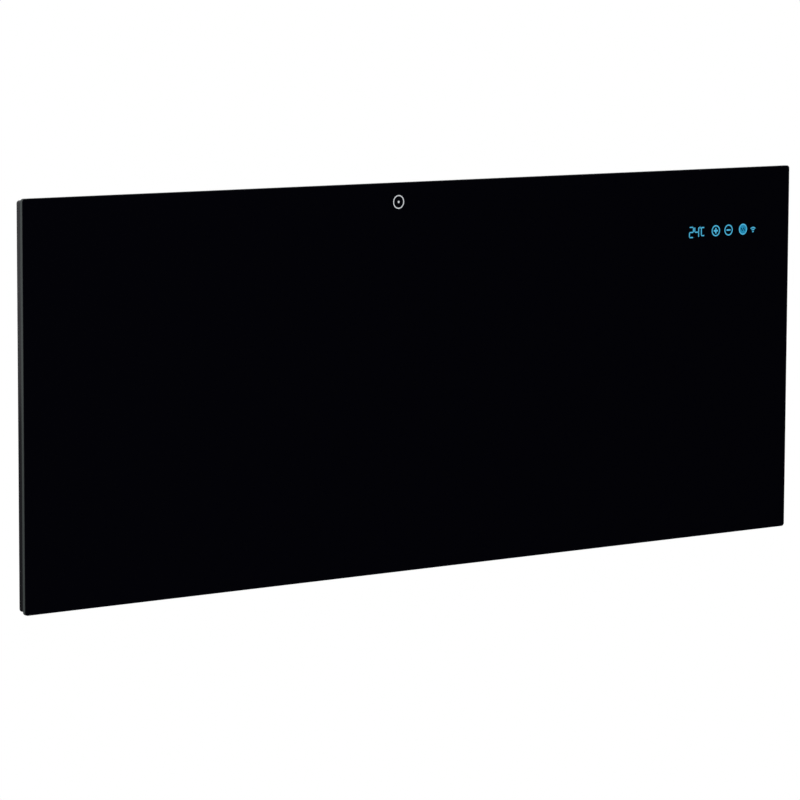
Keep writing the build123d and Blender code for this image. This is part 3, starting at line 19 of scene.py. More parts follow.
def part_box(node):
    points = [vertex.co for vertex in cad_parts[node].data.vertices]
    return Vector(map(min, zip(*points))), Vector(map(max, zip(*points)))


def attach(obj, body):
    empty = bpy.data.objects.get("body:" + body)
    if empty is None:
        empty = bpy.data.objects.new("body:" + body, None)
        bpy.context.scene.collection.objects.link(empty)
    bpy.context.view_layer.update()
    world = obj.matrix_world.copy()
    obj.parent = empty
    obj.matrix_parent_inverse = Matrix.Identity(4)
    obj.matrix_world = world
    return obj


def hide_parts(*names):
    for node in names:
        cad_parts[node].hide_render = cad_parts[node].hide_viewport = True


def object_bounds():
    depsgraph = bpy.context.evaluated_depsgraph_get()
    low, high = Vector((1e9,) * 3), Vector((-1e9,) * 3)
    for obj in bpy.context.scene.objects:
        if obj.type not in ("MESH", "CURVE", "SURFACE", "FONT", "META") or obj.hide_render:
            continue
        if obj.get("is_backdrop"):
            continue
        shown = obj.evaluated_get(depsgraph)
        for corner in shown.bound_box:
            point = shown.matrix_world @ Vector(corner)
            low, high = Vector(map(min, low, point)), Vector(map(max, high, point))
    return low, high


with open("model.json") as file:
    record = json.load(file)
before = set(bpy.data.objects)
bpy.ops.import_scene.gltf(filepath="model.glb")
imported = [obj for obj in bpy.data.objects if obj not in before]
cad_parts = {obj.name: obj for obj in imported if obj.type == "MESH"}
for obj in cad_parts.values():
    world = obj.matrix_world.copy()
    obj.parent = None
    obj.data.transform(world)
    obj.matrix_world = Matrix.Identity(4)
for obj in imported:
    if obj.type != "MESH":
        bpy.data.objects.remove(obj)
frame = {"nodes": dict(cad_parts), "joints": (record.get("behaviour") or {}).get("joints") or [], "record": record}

MM = 0.001
nodes = frame["nodes"]
cad_low, cad_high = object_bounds()
print("pieces in the packed model:", len(nodes))

# %% [markdown]
# ## The camera
#
# The picture was taken from the left and a little above, from far enough away that the far
# end of the panel is only a sixth shorter than the near end. Such a view could be found by
# trial, but the four corners of a flat sheet of known size fix it completely: the turn, the
# height, the distance and the length of the lens. The numbers below are that solution, and
# the camera looks straight at its aim point, so it needs no shift.

# %% Place the camera
TURN = math.radians(-37.65945)      # round the panel, to the left
RISE = math.radians(6.70803)        # above the horizon
TILT = math.radians(0.22879)        # of the camera about its own line of sight
DISTANCE = 4.847816
AIM = Vector((-0.051979, cad_low.y, -0.026987))
LENS_MM = 177.883
SENSOR_MM = 36.0

back = Vector((math.sin(TURN) * math.cos(RISE), -math.cos(TURN) * math.cos(RISE), math.sin(RISE)))
level_right = Vector((math.cos(TURN), math.sin(TURN), 0))
level_up = back.cross(level_right)
right = level_right * math.cos(TILT) + level_up * math.sin(TILT)
up = level_up * math.cos(TILT) - level_right * math.sin(TILT)

lens = bpy.data.cameras.new("camera")
lens.lens = LENS_MM
lens.sensor_width = SENSOR_MM
camera = bpy.data.objects.new("camera", lens)
bpy.context.collection.objects.link(camera)
facing = Matrix((right, up, back)).transposed().to_4x4()
camera.matrix_world = Matrix.Translation(AIM + back * DISTANCE) @ facing
bpy.context.scene.camera = camera
print("camera at", [round(value, 3) for value in camera.matrix_world.translation])

# %% [markdown]
# ## Building a finish
#
# Each finish is a small tree of shader nodes. It could be put together by hand in the
# editor, but a few short helpers make it readable as text and easy to repeat. The first
# ones start a finish as one even colour, add a node, join a node to the shader, and file
# the finish under the name by which the record asks for it.

# %% Start a finish, and join nodes to it
finishes = {}
asked_for = {part["material_slot"] for part in frame["record"]["subparts"]}


def new_finish(name, colour, roughness, metallic=0.0, specular=0.5):
    """A material whose shader has one even colour until something is joined to it."""
    finish = bpy.data.materials.new(name)
    finish.use_nodes = True
    shader = finish.node_tree.nodes["Principled BSDF"].inputs
    shader["Base Color"].default_value = (*colour, 1)
    shader["Roughness"].default_value = roughness
    shader["Metallic"].default_value = metallic
    shader["Specular IOR Level"].default_value = specular
    return finish


def add_node(owner, kind, inputs=None, **settings):
    """A shader node, with each of its inputs set to a value or joined to another's output."""
    made = owner.node_tree.nodes.new("ShaderNode" + kind)
    for name, value in settings.items():
        setattr(made, name, value)
    for name, value in (inputs or {}).items():
        if isinstance(value, bpy.types.NodeSocket):
            owner.node_tree.links.new(value, made.inputs[name])
        else:
            made.inputs[name].default_value = value
    return made


def join(finish, output, name):
    """Joins an output to the input of that name on the finish's own shader."""
    shader = finish.node_tree.nodes["Principled BSDF"]
    finish.node_tree.links.new(output, shader.inputs[name])


def keep(name, finish):
    """Files a finish under a name. Its own name may carry a number, so that isn't used."""
    finishes[name] = finish
    print("finish", name, "has", len(finish.node_tree.nodes), "nodes")


print("finishes that the record asks for:", len(asked_for))

# %% [markdown]
# ## Clouds, and what follows them
#
# No real surface is even. Nearly all finishes here need the same four moves: a cloud of soft
# blots, a number that follows the cloud, a colour that follows it, and a relief made from
# it. A picture of a surface could give all that, but it would repeat and blur. The clouds
# are laid in the piece's own space, so they stay on the piece when it moves.

# %% Clouds, numbers, tints and relief
CLOUD_LOW, CLOUD_HIGH = 0.3, 0.7    # nearly all of a cloud lies between these
EVEN = (1.0, 1.0, 1.0)              # no stretch


def cloud(finish, size, detail=3.0, stretch=EVEN):
    """Soft blots about size metres across."""
    place = add_node(finish, "TexCoord").outputs["Object"]
    laid = add_node(finish, "Mapping", {"Vector": place, "Scale": stretch}).outputs["Vector"]
    noise = add_node(finish, "TexNoise", {"Vector": laid, "Scale": 1 / size, "Detail": detail})
    return noise.outputs["Fac"]


def follow(finish, source, low, high, start=CLOUD_LOW, end=CLOUD_HIGH):
    """A number that goes from low to high as the source goes from start to end."""
    spread = {"Value": source, "From Min": start, "From Max": end, "To Min": low, "To Max": high}
    return add_node(finish, "MapRange", spread).outputs["Result"]


def tint(finish, source, dark, light):
    """A colour that goes from dark to light as the source crosses a cloud's range."""
    ramp = add_node(finish, "ValToRGB", {"Fac": source})
    ends = ramp.color_ramp.elements
    ends[0].position, ends[0].color = CLOUD_LOW, (*dark, 1)
    ends[1].position, ends[1].color = CLOUD_HIGH, (*light, 1)
    return ramp.outputs["Color"]


def relief(finish, source, depth):
    """Raises the surface by up to depth metres where the source is high."""
    bump = add_node(finish, "Bump", {"Height": source, "Distance": depth, "Strength": 1.0})
    join(finish, bump.outputs["Normal"], "Normal")


def shade(colour, factor):
    """The same colour, darker or lighter."""
    return tuple(min(1.0, part * factor) for part in colour)


print("clouds are read from", CLOUD_LOW, "to", CLOUD_HIGH)

# %% [markdown]
# ## Black glass
#
# The front is clear glass with black enamel fired on its back, so its face looks like deep
# black water. Its ground edge is another matter: the grinding wheel leaves a frosted strip
# that scatters light and shows the green-grey of the glass. One sheet, two looks. Two
# materials would need the mesh to be split, so one material reads which way the surface
# faces: the face looks along Y, and the edge and its small bevels don't.

# %% The finish of the front sheet
FACE_BLACK = (0.001, 0.001, 0.0023)
FACE_ROUGH = 0.05
FACE_GLOSS = 0.12
EDGE_GREY = (0.047, 0.054, 0.053)
EDGE_ROUGH = 0.42
FACE_FROM, FACE_FULL = 0.55, 0.65   # how squarely a surface looks along Y, from edge to face
WAVE_SIZE = 0.22                    # slow ripple that toughening leaves in a sheet
WAVE_STRETCH = (1.0, 1.0, 0.3)
WAVE_DEPTH = 0.00001


def black_glass():
    finish = new_finish("black_glass", FACE_BLACK, FACE_ROUGH, specular=FACE_GLOSS)
    normal = add_node(finish, "NewGeometry").outputs["True Normal"]
    across = add_node(finish, "SeparateXYZ", {"Vector": normal}).outputs["Y"]
    flat = add_node(finish, "Math", {0: across}, operation="ABSOLUTE").outputs[0]
    on_face = follow(finish, flat, CLOUD_LOW, CLOUD_HIGH, FACE_FROM, FACE_FULL)
    join(finish, tint(finish, on_face, EDGE_GREY, FACE_BLACK), "Base Color")
    rough = follow(finish, flat, EDGE_ROUGH, FACE_ROUGH, FACE_FROM, FACE_FULL)
    join(finish, rough, "Roughness")
    relief(finish, cloud(finish, WAVE_SIZE, 0.0, WAVE_STRETCH), WAVE_DEPTH)
    return finish


keep("black_glass", black_glass())

# %% [markdown]
# ## The powder-coated pan
#
# The steel pan behind the glass is sprayed with a dry powder that melts into a satin skin,
# with the fine pits known as orange peel. The pits could be real dents in the mesh, but
# they are far too many and too shallow for that, so a bump from fine noise gives them, and
# slow clouds vary the colour and the sheen.

# %% Powder coat
COAT_BLACK = (0.012, 0.012, 0.0135)
COAT_ROUGH = 0.3
COAT_GLOSS = 0.19
COAT_DRIFT = 0.12
COAT_BLOOM = 0.1                    # how far the colour drifts, each way
SHEEN_DRIFT = 0.03
SHEEN_ROUGH = (0.28, 0.36)
PEEL_SIZE = 0.0012
PEEL_DEPTH = 0.00002


def powder_coat(name, colour):
    finish = new_finish(name, colour, COAT_ROUGH, specular=COAT_GLOSS)
    dark, light = shade(colour, 1 - COAT_BLOOM), shade(colour, 1 + COAT_BLOOM)
    join(finish, tint(finish, cloud(finish, COAT_DRIFT), dark, light), "Base Color")
    join(finish, follow(finish, cloud(finish, SHEEN_DRIFT), *SHEEN_ROUGH), "Roughness")
    relief(finish, cloud(finish, PEEL_SIZE, detail=1.0), PEEL_DEPTH)
    return finish


keep("tray_steel", powder_coat("tray_steel", COAT_BLACK))

# %% [markdown]
# ## Galvanised rails
#
# The rails and uprights of the bracket are folded from galvanised sheet. The zinc freezes on
# it in flat crystals, each a little lighter or darker than the next. Noise alone has no
# straight borders, so Voronoi cells with one value each give the crystals, and a little
# noise on top keeps them from looking cut out.

# %% Galvanised sheet
CRYSTAL_GREY = (0.6, 0.61, 0.62)
CRYSTAL_DARK, CRYSTAL_LIGHT = (0.57, 0.58, 0.59), (0.62, 0.63, 0.64)
CRYSTAL_ROUGH = (0.46, 0.42)
CRYSTAL_SIZE = 0.006
DENT_SIZE = 0.004
DENT_DEPTH = 0.000015


def galvanised(name):
    finish = new_finish(name, CRYSTAL_GREY, CRYSTAL_ROUGH[1], metallic=1.0)
    place = add_node(finish, "TexCoord").outputs["Object"]
    warp = cloud(finish, CRYSTAL_SIZE, detail=2.0)
    cells = add_node(finish, "TexVoronoi", {"Vector": place, "Scale": 1 / CRYSTAL_SIZE})
    parts = add_node(finish, "SeparateColor", {"Color": cells.outputs["Color"]})
    both = {0: parts.outputs["Red"], 1: warp}
    mixed = add_node(finish, "Math", both, operation="ADD").outputs[0]
    half = add_node(finish, "Math", {0: mixed, 1: 0.5}, operation="MULTIPLY").outputs[0]
    join(finish, tint(finish, half, CRYSTAL_DARK, CRYSTAL_LIGHT), "Base Color")
    join(finish, follow(finish, half, *CRYSTAL_ROUGH), "Roughness")
    relief(finish, cloud(finish, DENT_SIZE, detail=2.0), DENT_DEPTH)
    return finish


keep("bracket_steel", galvanised("bracket_steel"))

# %% [markdown]
# ## Zinc plate
#
# The small pressed parts, rivets and screws are zinc plated after they are formed. The coat
# is smooth and bright, with slow clouds and faint rubbed lines. It could share the crystals
# of the rails, but plating has none, so it gets a finish of its own with stretched noise.

# %% Zinc plate
ZINC_GREY = (0.68, 0.7, 0.71)
ZINC_DARK, ZINC_LIGHT = (0.6, 0.62, 0.64), (0.74, 0.75, 0.76)
ZINC_ROUGH = 0.3
ZINC_DRIFT = 0.015
ZINC_SHEEN_DRIFT = 0.005
ZINC_SHEEN_ROUGH = (0.26, 0.4)
RUB_SIZE = 0.0015
RUB_STRETCH = (1.0, 1.0, 3.0)
RUB_DEPTH = 0.000008


def zinc_plate(name):
    finish = new_finish(name, ZINC_GREY, ZINC_ROUGH, metallic=1.0)
    join(finish, tint(finish, cloud(finish, ZINC_DRIFT), ZINC_DARK, ZINC_LIGHT), "Base Color")
    rough = follow(finish, cloud(finish, ZINC_SHEEN_DRIFT), *ZINC_SHEEN_ROUGH)
    join(finish, rough, "Roughness")
    relief(finish, cloud(finish, RUB_SIZE, 2.0, RUB_STRETCH), RUB_DEPTH)
    return finish


keep("zinc", zinc_plate("zinc"))

# %% [markdown]
# ## Moulded plastic, rubber and bare metal
#
# Moulded covers carry the texture that was etched into their mould: fine pits that hide
# finger marks. Rubber is darker and duller, with a dusty bloom. Each differs in colour,
# gloss, grain size and depth only, so one function with those as arguments makes the whole
# family, and a table lists its members. Foil, tinned tabs and the strip that gets hot are
# rolled metal with a fine grain of the same kind, so they are in it too.

# %% How a moulded finish is made
DRIFT_GRAINS = 12                   # a slow blot is so many grains wide
SHEEN_GRAINS = 5
ROUGH_SPREAD = 0.05


def moulded(name, colour, roughness, grain, depth, bloom=0.08, metallic=0.0):
    """Grain and depth are in metres. Bloom says how far the colour drifts, each way."""
    finish = new_finish(name, colour, roughness, metallic)
    dark, light = shade(colour, 1 - bloom), shade(colour, 1 + bloom)
    join(finish, tint(finish, cloud(finish, DRIFT_GRAINS * grain), dark, light), "Base Color")
    sheen = cloud(finish, SHEEN_GRAINS * grain)
    rough = follow(finish, sheen, roughness - ROUGH_SPREAD, roughness + ROUGH_SPREAD)
    join(finish, rough, "Roughness")
    relief(finish, cloud(finish, grain, detail=2.0), depth)
    return finish


print("a slow blot is", DRIFT_GRAINS, "grains wide")

# %% The members of the family
# name: colour, roughness, grain, depth, then bloom and metal where they aren't the usual ones
MOULDED = {
    "silicone": ((0.02, 0.02, 0.021), 0.6, 0.002, 0.00003),
    "strip_metal": ((0.42, 0.40, 0.38), 0.35, 0.0006, 0.00001, 0.06, 1.0),
    "tinned": ((0.66, 0.66, 0.65), 0.3, 0.0008, 0.00001, 0.06, 1.0),
    "foil": ((0.8, 0.8, 0.81), 0.22, 0.003, 0.00004, 0.04, 1.0),
    "ceramic_body": ((0.66, 0.62, 0.55), 0.55, 0.0006, 0.00003),
    "black_plastic": ((0.022, 0.022, 0.023), 0.55, 0.0007, 0.00005),
    "switch_black": ((0.014, 0.014, 0.015), 0.32, 0.0006, 0.00001),
    "display_face": ((0.03, 0.03, 0.034), 0.4, 0.0008, 0.00001),
    "ribbon_white": ((0.62, 0.62, 0.6), 0.4, 0.0012, 0.00002),
    "relay_blue": ((0.02, 0.1, 0.35), 0.35, 0.0008, 0.00001),
    "core_dark": ((0.05, 0.048, 0.045), 0.6, 0.0008, 0.00004),
    "capacitor": ((0.03, 0.035, 0.06), 0.3, 0.001, 0.00001),
    "fuse_glass": ((0.5, 0.55, 0.55), 0.1, 0.002, 0.00001),
    "terminal_green": ((0.03, 0.26, 0.1), 0.4, 0.0008, 0.00001),
    "gland_grey": ((0.035, 0.036, 0.038), 0.45, 0.0008, 0.00003),
    "seal_rubber": ((0.012, 0.012, 0.012), 0.75, 0.001, 0.00004, 0.2),
    "sensor_bead": ((0.02, 0.016, 0.012), 0.3, 0.0008, 0.00001),
    "bumper_rubber": ((0.016, 0.016, 0.016), 0.8, 0.0012, 0.00005, 0.2),
}
for name, look in MOULDED.items():
    keep(name, moulded(name, *look))

# %% [markdown]
# ## Flakes and fibres
#
# The stack behind the glass has sheets of mica and a board of mineral fibre, and the leads
# of the strip are sleeved. All are dull, and show their flakes or fibres. Strands could be
# drawn as curves, but a cloud with much detail, stretched where the fibres lie one way,
# looks the same from any distance at which they are seen. Here the colour, the sheen and
# the relief follow one and the same cloud, so the colour is painted lighter on the raised
# strands and darker in the hollows between them: painted light and painted shade.

# %% Fibrous finishes
STRAND_ROUGH = 0.8
STRAND_SHEEN = (0.9, 0.7)
# painted shade in the hollows between strands, and painted light on the raised ones
HOLLOW_SHADE, RAISED_LIGHT = 0.72, 1.2
STRAND_DETAIL = 6.0
ALONG_X = (0.3, 1.0, 1.0)


def fibrous(name, colour, grain, stretch, depth):
    """Fibres or flakes that lie along the sheet. Grain and depth are in metres."""
    finish = new_finish(name, colour, STRAND_ROUGH)
    strands = cloud(finish, grain, STRAND_DETAIL, stretch)
    dark, light = shade(colour, HOLLOW_SHADE), shade(colour, RAISED_LIGHT)
    # the colour follows the relief's cloud: painted shade in the hollows, painted light on the strands
    join(finish, tint(finish, strands, dark, light), "Base Color")
    join(finish, follow(finish, strands, *STRAND_SHEEN), "Roughness")
    relief(finish, strands, depth)
    return finish


# name: colour, grain, stretch, depth
FIBROUS = {
    "mica": ((0.42, 0.36, 0.27), 0.006, EVEN, 0.00004),
    "mineral_board": ((0.68, 0.66, 0.6), 0.004, ALONG_X, 0.0002),
    "lead_sleeve": ((0.55, 0.53, 0.48), 0.0008, EVEN, 0.0001),
}
for name, look in FIBROUS.items():
    keep(name, fibrous(name, *look))

# %% [markdown]
# ## Circuit boards
#
# A board is green lacquer over copper tracks, which show as slightly lighter paths. Tracks
# could be drawn one by one, but the boards are seen through narrow slots at most.
# Voronoi cells measured along the axes have square outlines like tracks, at no effort.

# %% Circuit board
LACQUER = (0.008, 0.06, 0.028)
LACQUER_DARK, LACQUER_LIGHT = (0.006, 0.045, 0.02), (0.016, 0.1, 0.05)
LACQUER_ROUGH = 0.35
TRACKS_PER_M = 260.0
TRACK_DEPTH = 0.00003


def circuit_board():
    finish = new_finish("circuit_board", LACQUER, LACQUER_ROUGH)
    place = add_node(finish, "TexCoord").outputs["Object"]
    laid = {"Vector": place, "Scale": TRACKS_PER_M}
    edge = add_node(finish, "TexVoronoi", laid, distance="MANHATTAN").outputs["Distance"]
    join(finish, tint(finish, edge, LACQUER_DARK, LACQUER_LIGHT), "Base Color")
    relief(finish, edge, TRACK_DEPTH)
    return finish


keep("circuit_board", circuit_board())

# %% [markdown]
# ## Light in the glass
#
# The signs are lit from behind by small lamps, and the enamel is left off where they shine
# through. To the eye they are flat glowing shapes at the surface of the glass. An emissive
# material on a very thin shape gives that, and keeps the sign crisp in every view. The
# colour drifts a little, because the lamps behind it are small and uneven, and a wide field
# glows less than a thin line, because its light is spread. The printed marks don't glow.

# %% The glowing and the printed signs
LIT_BLUE = (0.062, 0.42, 0.66)
LIT_DEEP = (0.002, 0.21, 0.385)     # wide lit fields are dimmer than thin lines
UNLIT = (0.01, 0.02, 0.03)          # the sign's own colour, under its glow
UNLIT_ROUGH = 0.3
GLOW_DRIFT = 0.004
GLOW_DIM, GLOW_BRIGHT = 0.86, 1.12
PRINT_WHITE = (0.69, 0.71, 0.74)
PRINT_ROUGH = 0.45
PRINT_GRAIN = 0.0005
PRINT_DEPTH = 0.000002


def lit_sign(name, colour):
    finish = new_finish(name, UNLIT, UNLIT_ROUGH)
    dim, bright = shade(colour, GLOW_DIM), shade(colour, GLOW_BRIGHT)
    join(finish, tint(finish, cloud(finish, GLOW_DRIFT), dim, bright), "Emission Color")
    shader = finish.node_tree.nodes["Principled BSDF"]
    shader.inputs["Emission Strength"].default_value = 1.0
    return finish


keep("lit_sign", lit_sign("lit_sign", LIT_BLUE))
keep("lit_field", lit_sign("lit_field", LIT_DEEP))
keep("white_sign", moulded("white_sign", PRINT_WHITE, PRINT_ROUGH, PRINT_GRAIN, PRINT_DEPTH))

# %% [markdown]
# ## Giving the finishes out
#
# The record says for each piece which finish it takes, by the name of a slot. They could be
# set one by one, but some would be missed, so a loop over the record does it.

# %% Each piece gets the finish of its slot
for part in frame["record"]["subparts"]:
    for place in nodes[part["node"]].material_slots:
        place.material = finishes[part["material_slot"]]
print("finishes made:", len(finishes))

# %% [markdown]
# ## Outlines for the signs
#
# A sign is an outline, sometimes with holes in it, as thick as a coat of paint. It could be
# a text or a curve, but a mesh made from loops of points is always closed and clean, and
# the loops can come from short formulas: a circle, a bar with round ends, part of a ring.
# The drawing is done in millimetres on the face of the glass, x to the right and z up.


# %% Loops of points
def circle(x, z, radius, steps=40):
    turns = [math.tau * step / steps for step in range(steps)]
    return [(x + radius * math.cos(a), z + radius * math.sin(a)) for a in turns]


def arc(x, z, radius, start, end, steps=8):
    """Points on a circle between two angles, given in degrees."""
    turns = [math.radians(start + (end - start) * step / steps) for step in range(steps + 1)]
    return [(x + radius * math.cos(a), z + radius * math.sin(a)) for a in turns]


def arch(x, z, radius, width, start, end, steps=16):
    """Part of a ring between two angles, given in degrees."""
    outer = arc(x, z, radius + width / 2, start, end, steps)
    inner = arc(x, z, radius - width / 2, start, end, steps)
    return outer + inner[::-1]


def bar(start, end, width, steps=8):
    """A straight bar with round ends, from the middle of one end to the other."""
    lean = math.atan2(end[1] - start[1], end[0] - start[0])
    outline = []
    for (x, z), turn in ((start, lean + math.pi / 2), (end, lean - math.pi / 2)):
        for step in range(steps + 1):
            a = turn + math.pi * step / steps
            outline.append((x + width / 2 * math.cos(a), z + width / 2 * math.sin(a)))
    return outline


def cross(x, z, span, width):
    """A plus sign with square arms."""
    far, near = span / 2, width / 2
    corner = [(near, near), (near, far), (-near, far)]
    outline = []
    for quarter in range(4):
        c, s = math.cos(quarter * math.pi / 2), math.sin(quarter * math.pi / 2)
        outline += [(x + px * c - pz * s, z + px * s + pz * c) for px, pz in corner]
    return outline


print("points in a circle:", len(circle(0, 0, 1)))

# %% [markdown]
# ## From an outline to a piece
#
# The outline and its holes become a slab: the same loops twice, a coat of paint apart, with
# walls between them and a fill at both ends. A modifier could thicken a flat fill, but
# building both faces at once leaves nothing to apply. Each piece then rides on a body of
# the heater, so it moves with it.

# %% Slabs and pieces
SIGN_THICK = 0.04 * MM
glass_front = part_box("front_glass")[0].y
# a flat face: its starting point, and its ways across and up
GLASS = (Vector((0, glass_front, 0)), Vector((1, 0, 0)), Vector((0, 0, 1)))


def add_slab(mesh, outline, holes=(), flat=GLASS):
    """Adds a closed thin slab, standing on a flat face, to a mesh under construction."""
    start, across, rise = flat
    loops = [outline, *holes]
    sides = []
    for lift in (0, SIGN_THICK):
        foot = start + across.cross(rise) * lift
        sides.append([[mesh.verts.new(foot + (across * x + rise * z) * MM) for x, z in loop]
                      for loop in loops])
    for front, rear in zip(*sides):
        for n in range(len(front)):
            mesh.faces.new((front[n - 1], front[n], rear[n], rear[n - 1]))
    for side in sides:
        rims = [(loop[n - 1], loop[n]) for loop in side for n in range(len(loop))]
        edges = [mesh.edges.get(rim) for rim in rims]
        bmesh.ops.triangle_fill(mesh, edges=edges, use_beauty=True)


def make_piece(name, build, slot, body, finish=None):
    """Turns what build() adds to an empty mesh into a piece that rides on a body."""
    mesh = bmesh.new()
    build(mesh)
    bmesh.ops.recalc_face_normals(mesh, faces=mesh.faces)
    data = bpy.data.meshes.new(name)
    mesh.to_mesh(data)
    mesh.free()
    data.materials.append(finish or finishes[slot])
    piece = bpy.data.objects.new(name, data)
    bpy.context.collection.objects.link(piece)
    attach(piece, body)
    print(name, "has", len(data.polygons), "faces")
    return piece


print("the face of the glass is at y =", round(glass_front, 5))

# %% [markdown]
# ## The lit display
#
# Two digits of seven bars each show the room's temperature, with a small ring and a C for
# degrees. A font could write them, but its digits would have other shapes. Each digit is a
# choice from the same seven bars, so a short table of letters is enough for any number.

# %% Digits
DIGIT_W = 6.8
DIGIT_H = 13.2
STROKE = 1.5
SEGMENT_GAP = 0.65
ROW_Z = 158.6
SHOWN = "24"
DIGIT_XS = (423.2, 432.4)
SEGMENTS = {"2": "abged", "4": "fgbc"}
# each bar goes from one corner to another: t, m, b for its height, l and r for its side
SEGMENT_CORNERS = {"a": "tl tr", "b": "tr mr", "c": "mr br", "d": "bl br", "e": "ml bl",
                   "f": "tl ml", "g": "ml mr"}


def segment_ends(letter):
    """Both ends of one of the seven bars, from the middle of the digit."""
    x, z = DIGIT_W / 2, DIGIT_H / 2
    heights, places = {"t": z, "m": 0, "b": -z}, {"l": -x, "r": x}
    return [(places[corner[1]], heights[corner[0]]) for corner in SEGMENT_CORNERS[letter].split()]


def draw_digits(mesh):
    for digit, x in zip(SHOWN, DIGIT_XS):
        for letter in SEGMENTS[digit]:
            (ax, az), (bx, bz) = segment_ends(letter)
            length = math.hypot(bx - ax, bz - az)
            cut = (SEGMENT_GAP + STROKE) / 2 / length
            start = (x + ax + (bx - ax) * cut, ROW_Z + az + (bz - az) * cut)
            end = (x + bx + (ax - bx) * cut, ROW_Z + bz + (az - bz) * cut)
            add_slab(mesh, bar(start, end, STROKE))


print("the display shows", SHOWN)

# %% Degree mark and letter
DEGREE_X, DEGREE_Z = 438.1, 164.3
DEGREE_R = 1.3
DEGREE_HOLE_R = 0.55
C_LEFT, C_RIGHT, C_TOP, C_FOOT = 440.4, 445.3, 164.2, 153.7
C_BEND = 1.6


def draw_degree(mesh):
    hole = circle(DEGREE_X, DEGREE_Z, DEGREE_HOLE_R)
    add_slab(mesh, circle(DEGREE_X, DEGREE_Z, DEGREE_R), [hole])


def draw_letter(mesh):
    """A C whose stroke goes round two bends, drawn outside first and then back inside."""
    x, top, foot = C_LEFT + C_BEND, C_TOP - C_BEND, C_FOOT + C_BEND
    rim = STROKE / 2
    outline = [(C_RIGHT, C_TOP + rim)]
    outline += arc(x, top, C_BEND + rim, 90, 180)
    outline += arc(x, foot, C_BEND + rim, 180, 270)
    outline += [(C_RIGHT, C_FOOT - rim), (C_RIGHT, C_FOOT + rim)]
    outline += arc(x, foot, C_BEND - rim, 270, 180)
    outline += arc(x, top, C_BEND - rim, 180, 90)
    outline += [(C_RIGHT, C_TOP - rim)]
    add_slab(mesh, outline)


def draw_display(mesh):
    draw_digits(mesh)
    draw_degree(mesh)
    draw_letter(mesh)


make_piece("display_digits", draw_display, "lit_sign", "heater")

# %% [markdown]
# ## The keys and the wireless light
#
# Three round keys follow: plus, minus, and a filled disc with two slanting strokes. They
# could be modelled as raised buttons, but the real ones feel a finger through the glass and
# don't move, so each is a drawing. The disc is dimmer than its ring, so it is a piece of its
# own. Last comes a small fan for the wireless link: a dot and two arches over it.

# %% Rings with a sign in them
KEY_Z = 159.1
KEY_RING_R = 7.2
RING_STROKE = 1.5
FIELD_R = KEY_RING_R - RING_STROKE
PLUS_X, MINUS_X, ROUND_X = 465.7, 488.0, 513.4
PLUS_SPAN = 7.2
PLUS_W = 2.2
MINUS_HALF = 2.8
MINUS_W = 1.9


def draw_ring(mesh, x):
    add_slab(mesh, circle(x, KEY_Z, KEY_RING_R), [circle(x, KEY_Z, FIELD_R)])


def draw_plus(mesh):
    draw_ring(mesh, PLUS_X)
    add_slab(mesh, cross(PLUS_X, KEY_Z, PLUS_SPAN, PLUS_W))


def draw_minus(mesh):
    draw_ring(mesh, MINUS_X)
    add_slab(mesh, bar((MINUS_X - MINUS_HALF, KEY_Z), (MINUS_X + MINUS_HALF, KEY_Z), MINUS_W))


def draw_round(mesh):
    draw_ring(mesh, ROUND_X)


for name, draw in (("key_plus", draw_plus), ("key_minus", draw_minus), ("key_round", draw_round)):
    make_piece(name, draw, "lit_sign", "heater")

# %% The fan and the filled disc
FAN_X = 531.1
FAN_Z = ROW_Z - 3.2
FAN_DOT_R = 1.2
FAN_RADII = (3.0, 5.4)
FAN_W = 1.4
FAN_FROM, FAN_TO = 42, 138          # degrees
SLANT_XS = (-2.1, 1.9)              # the two strokes, from the middle of the key
SLANT_OUT = 1.1
SLANT_UP = 1.6
SLANT_W = 1.3


def draw_fan(mesh):
    add_slab(mesh, circle(FAN_X, FAN_Z, FAN_DOT_R, steps=20))
    for radius in FAN_RADII:
        add_slab(mesh, arch(FAN_X, FAN_Z, radius, FAN_W, FAN_FROM, FAN_TO))


def draw_field(mesh):
    holes = []
    for slant_x in SLANT_XS:
        x = ROUND_X + slant_x
        start, end = (x - SLANT_OUT, KEY_Z + SLANT_UP), (x + SLANT_OUT, KEY_Z - SLANT_UP)
        holes.append(bar(start, end, SLANT_W))
    add_slab(mesh, circle(ROUND_X, KEY_Z, FIELD_R), holes)


make_piece("wireless_fan", draw_fan, "lit_sign", "heater")
make_piece("key_round_field", draw_field, "lit_sign", "heater", finishes["lit_field"])

# %% [markdown]
# ## The printed ring near the top edge
#
# One small mark is printed in white, left of the middle. It isn't lit, so it gets a plain
# matt print and no glow. It could be part of the glass's own material, but as a slab it
# stays sharp in a close view. The ring is as wide and as strong as in the picture.

# %% The white mark
MARK_X = -55.3
MARK_Z = 216.3
MARK_R = 8.4
MARK_STROKE = 1.3
MARK_DOT_R = 1.4


def draw_mark(mesh):
    hole = circle(MARK_X, MARK_Z, MARK_R - MARK_STROKE, steps=48)
    add_slab(mesh, circle(MARK_X, MARK_Z, MARK_R, steps=48), [hole])
    add_slab(mesh, circle(MARK_X, MARK_Z, MARK_DOT_R, steps=24))


make_piece("white_mark", draw_mark, "white_sign", "heater")

# %% [markdown]
# ## Finding the fasteners
#
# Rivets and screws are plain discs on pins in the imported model, many in one node. Their
# places could be written here as numbers, but they are read from that model instead, so the
# fine ones sit exactly where the plain ones do. The mesh is taken apart into its separate
# parts, and the box round each says where a fastener sits and how long it is.

# %% The box round each separate part
SAME_POINT = 1e-6                   # corners nearer than this are one


